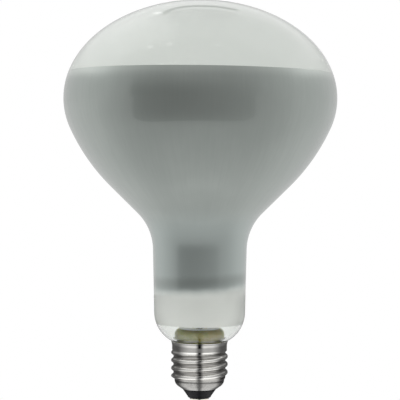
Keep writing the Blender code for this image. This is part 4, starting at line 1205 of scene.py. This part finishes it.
def finishOf(face, stem, foot, roof):
    # 0 clear, 1 film inside the flare, 2 painted light: a near-white metal film on its flat roof
    centre, normal = face.calc_center_median(), face.normal
    away = math.hypot(centre.x, centre.y)
    inner = stem["flareDiameter"] / 2 - stem["flareWall"] + stem["slack"]
    flat = normal.z > stem["roofTurn"] and centre.z < roof + stem["slack"]
    if flat and away > stem["pinchWidth"] / 2:
        return 2
    inwards = normal.x * centre.x + normal.y * centre.y < 0 or normal.z < stem["ceilingTurn"]
    lining = inwards and stem["exhaustDiameter"] < away < inner
    return int(lining and foot < centre.z < roof)


def makeStem(stem):
    tip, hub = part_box("stem_glass")[0][2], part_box("filament_hub")[0][2]
    foot = shoulderInside(glass, stem["flareDiameter"] / 2) + fits["seatGap"]
    roof = foot + stem["flareHeight"]
    bm = spunStem(stem, foot, roof, tip, hub - fits["seatGap"])
    addPinch(bm, stem, roof)
    for face in bm.faces:
        face.material_index = finishOf(face, stem, foot, roof)
    film = filmMaterial("flareFilm", *stem["filmTones"])
    # painted light: a near-white metal film on the flare's flat roof stands in for light seen
    # through the glass
    roofLight = patternMaterial("flareRoofLight", *stem["roofLightTones"], 300, 0.4, 1.0)
    piece = pieceFrom(bm, "stemGlass", [clearGlass("stemClear"), film, roofLight], 40)
    seat(piece, "stem_glass", "stem_glass")


makeStem(stem)
print("stem drawn")


# Driver's sleeve, a rolled film tube

sleeve = {
    "wall": 0.3 * mm,
    "rows": 12,
    "segments": 96,
    "filmTones": ((0.58, 0.47, 0.08), (0.66, 0.62, 0.20), (0.50, 0.55, 0.10)),
}


def makeSleeve(sleeve):
    low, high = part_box("driver_sleeve")
    radius, wall, rise = high[0], sleeve["wall"], high[2] - low[2]
    bm = bmesh.new()
    vert = bm.verts.new((radius - wall, 0, low[2]))
    vert = straightFrom(bm, vert, (wall, 0))
    vert = straightFrom(bm, vert, (0, rise), sleeve["rows"])
    vert = straightFrom(bm, vert, (-wall, 0))
    straightFrom(bm, vert, (0, -rise), sleeve["rows"])
    turn(bm, sleeve["segments"])
    film = filmMaterial("sleeveFilm", *sleeve["filmTones"])
    seat(pieceFrom(bm, "driverSleeve", [film], 40), "amber_film", "driver_sleeve")


makeSleeve(sleeve)
print("sleeve turned")


# Finishes of the inner pieces that keep their CAD mesh

innerFinishes = {
    "wireNickel": {
        "nodes": ("inner_lead", "outer_lead", "bus_arc", "filament_hub"),
        "tones": ((0.56, 0.54, 0.5), (0.66, 0.64, 0.6)),
        "grain": {"scale": 900, "rough": 0.32, "metallic": 1.0},
    },
    "phosphor": {
        "nodes": ("led_filament",),
        "tones": ((0.80, 0.60, 0.12), (0.90, 0.70, 0.20)),
        "grain": {"scale": 1500, "rough": 0.6, "bump": 0.2},
    },
    "oliveCement": {
        "nodes": ("capping_cement",),
        "tones": ((0.40, 0.37, 0.20), (0.52, 0.49, 0.30)),
        "grain": {"scale": 700, "rough": 0.85, "bump": 0.6},
    },
    "boardGreen": {
        "nodes": ("driver_board",),
        "tones": ((0.06, 0.20, 0.10), (0.10, 0.27, 0.14)),
        "grain": {"scale": 500, "rough": 0.45, "bump": 0.1},
    },
    "canSleeve": {
        "nodes": ("smoothing_capacitor",),
        "tones": ((0.04, 0.05, 0.06), (0.07, 0.08, 0.09)),
        "grain": {"scale": 400, "rough": 0.35, "bump": 0.05},
    },
    "ferriteBlack": {
        "nodes": ("choke",),
        "tones": ((0.05, 0.05, 0.045), (0.09, 0.085, 0.08)),
        "grain": {"scale": 1200, "rough": 0.7, "bump": 0.3},
    },
    "resistorCoat": {
        "nodes": ("fusible_resistor",),
        "tones": ((0.26, 0.38, 0.41), (0.34, 0.46, 0.49)),
        "grain": {"scale": 600, "rough": 0.5, "bump": 0.1},
    },
    "blackResin": {
        "nodes": ("bridge_rectifier", "driver_chip"),
        "tones": ((0.025, 0.025, 0.027), (0.04, 0.04, 0.042)),
        "grain": {"scale": 1200, "rough": 0.5, "bump": 0.2},
    },
    "wireSleeving": {
        "nodes": ("live_wire", "neutral_wire"),
        "tones": ((0.70, 0.69, 0.65), (0.80, 0.79, 0.75)),
        "grain": {"scale": 1500, "rough": 0.6, "bump": 0.3},
    },
    "tinSolder": {
        "nodes": ("shell_solder",),
        "tones": ((0.55, 0.56, 0.57), (0.66, 0.67, 0.68)),
        "grain": {"scale": 900, "rough": 0.35, "metallic": 1.0, "bump": 0.2},
    },
}


def dress(finishes):
    for name, look in finishes.items():
        material = patternMaterial(name, *look["tones"], **look["grain"])
        for nodeName, node in nodes.items():
            if nodeName.startswith(look["nodes"]):
                for slot in node.material_slots:
                    slot.material = material


dress(innerFinishes)
print("inner pieces dressed")
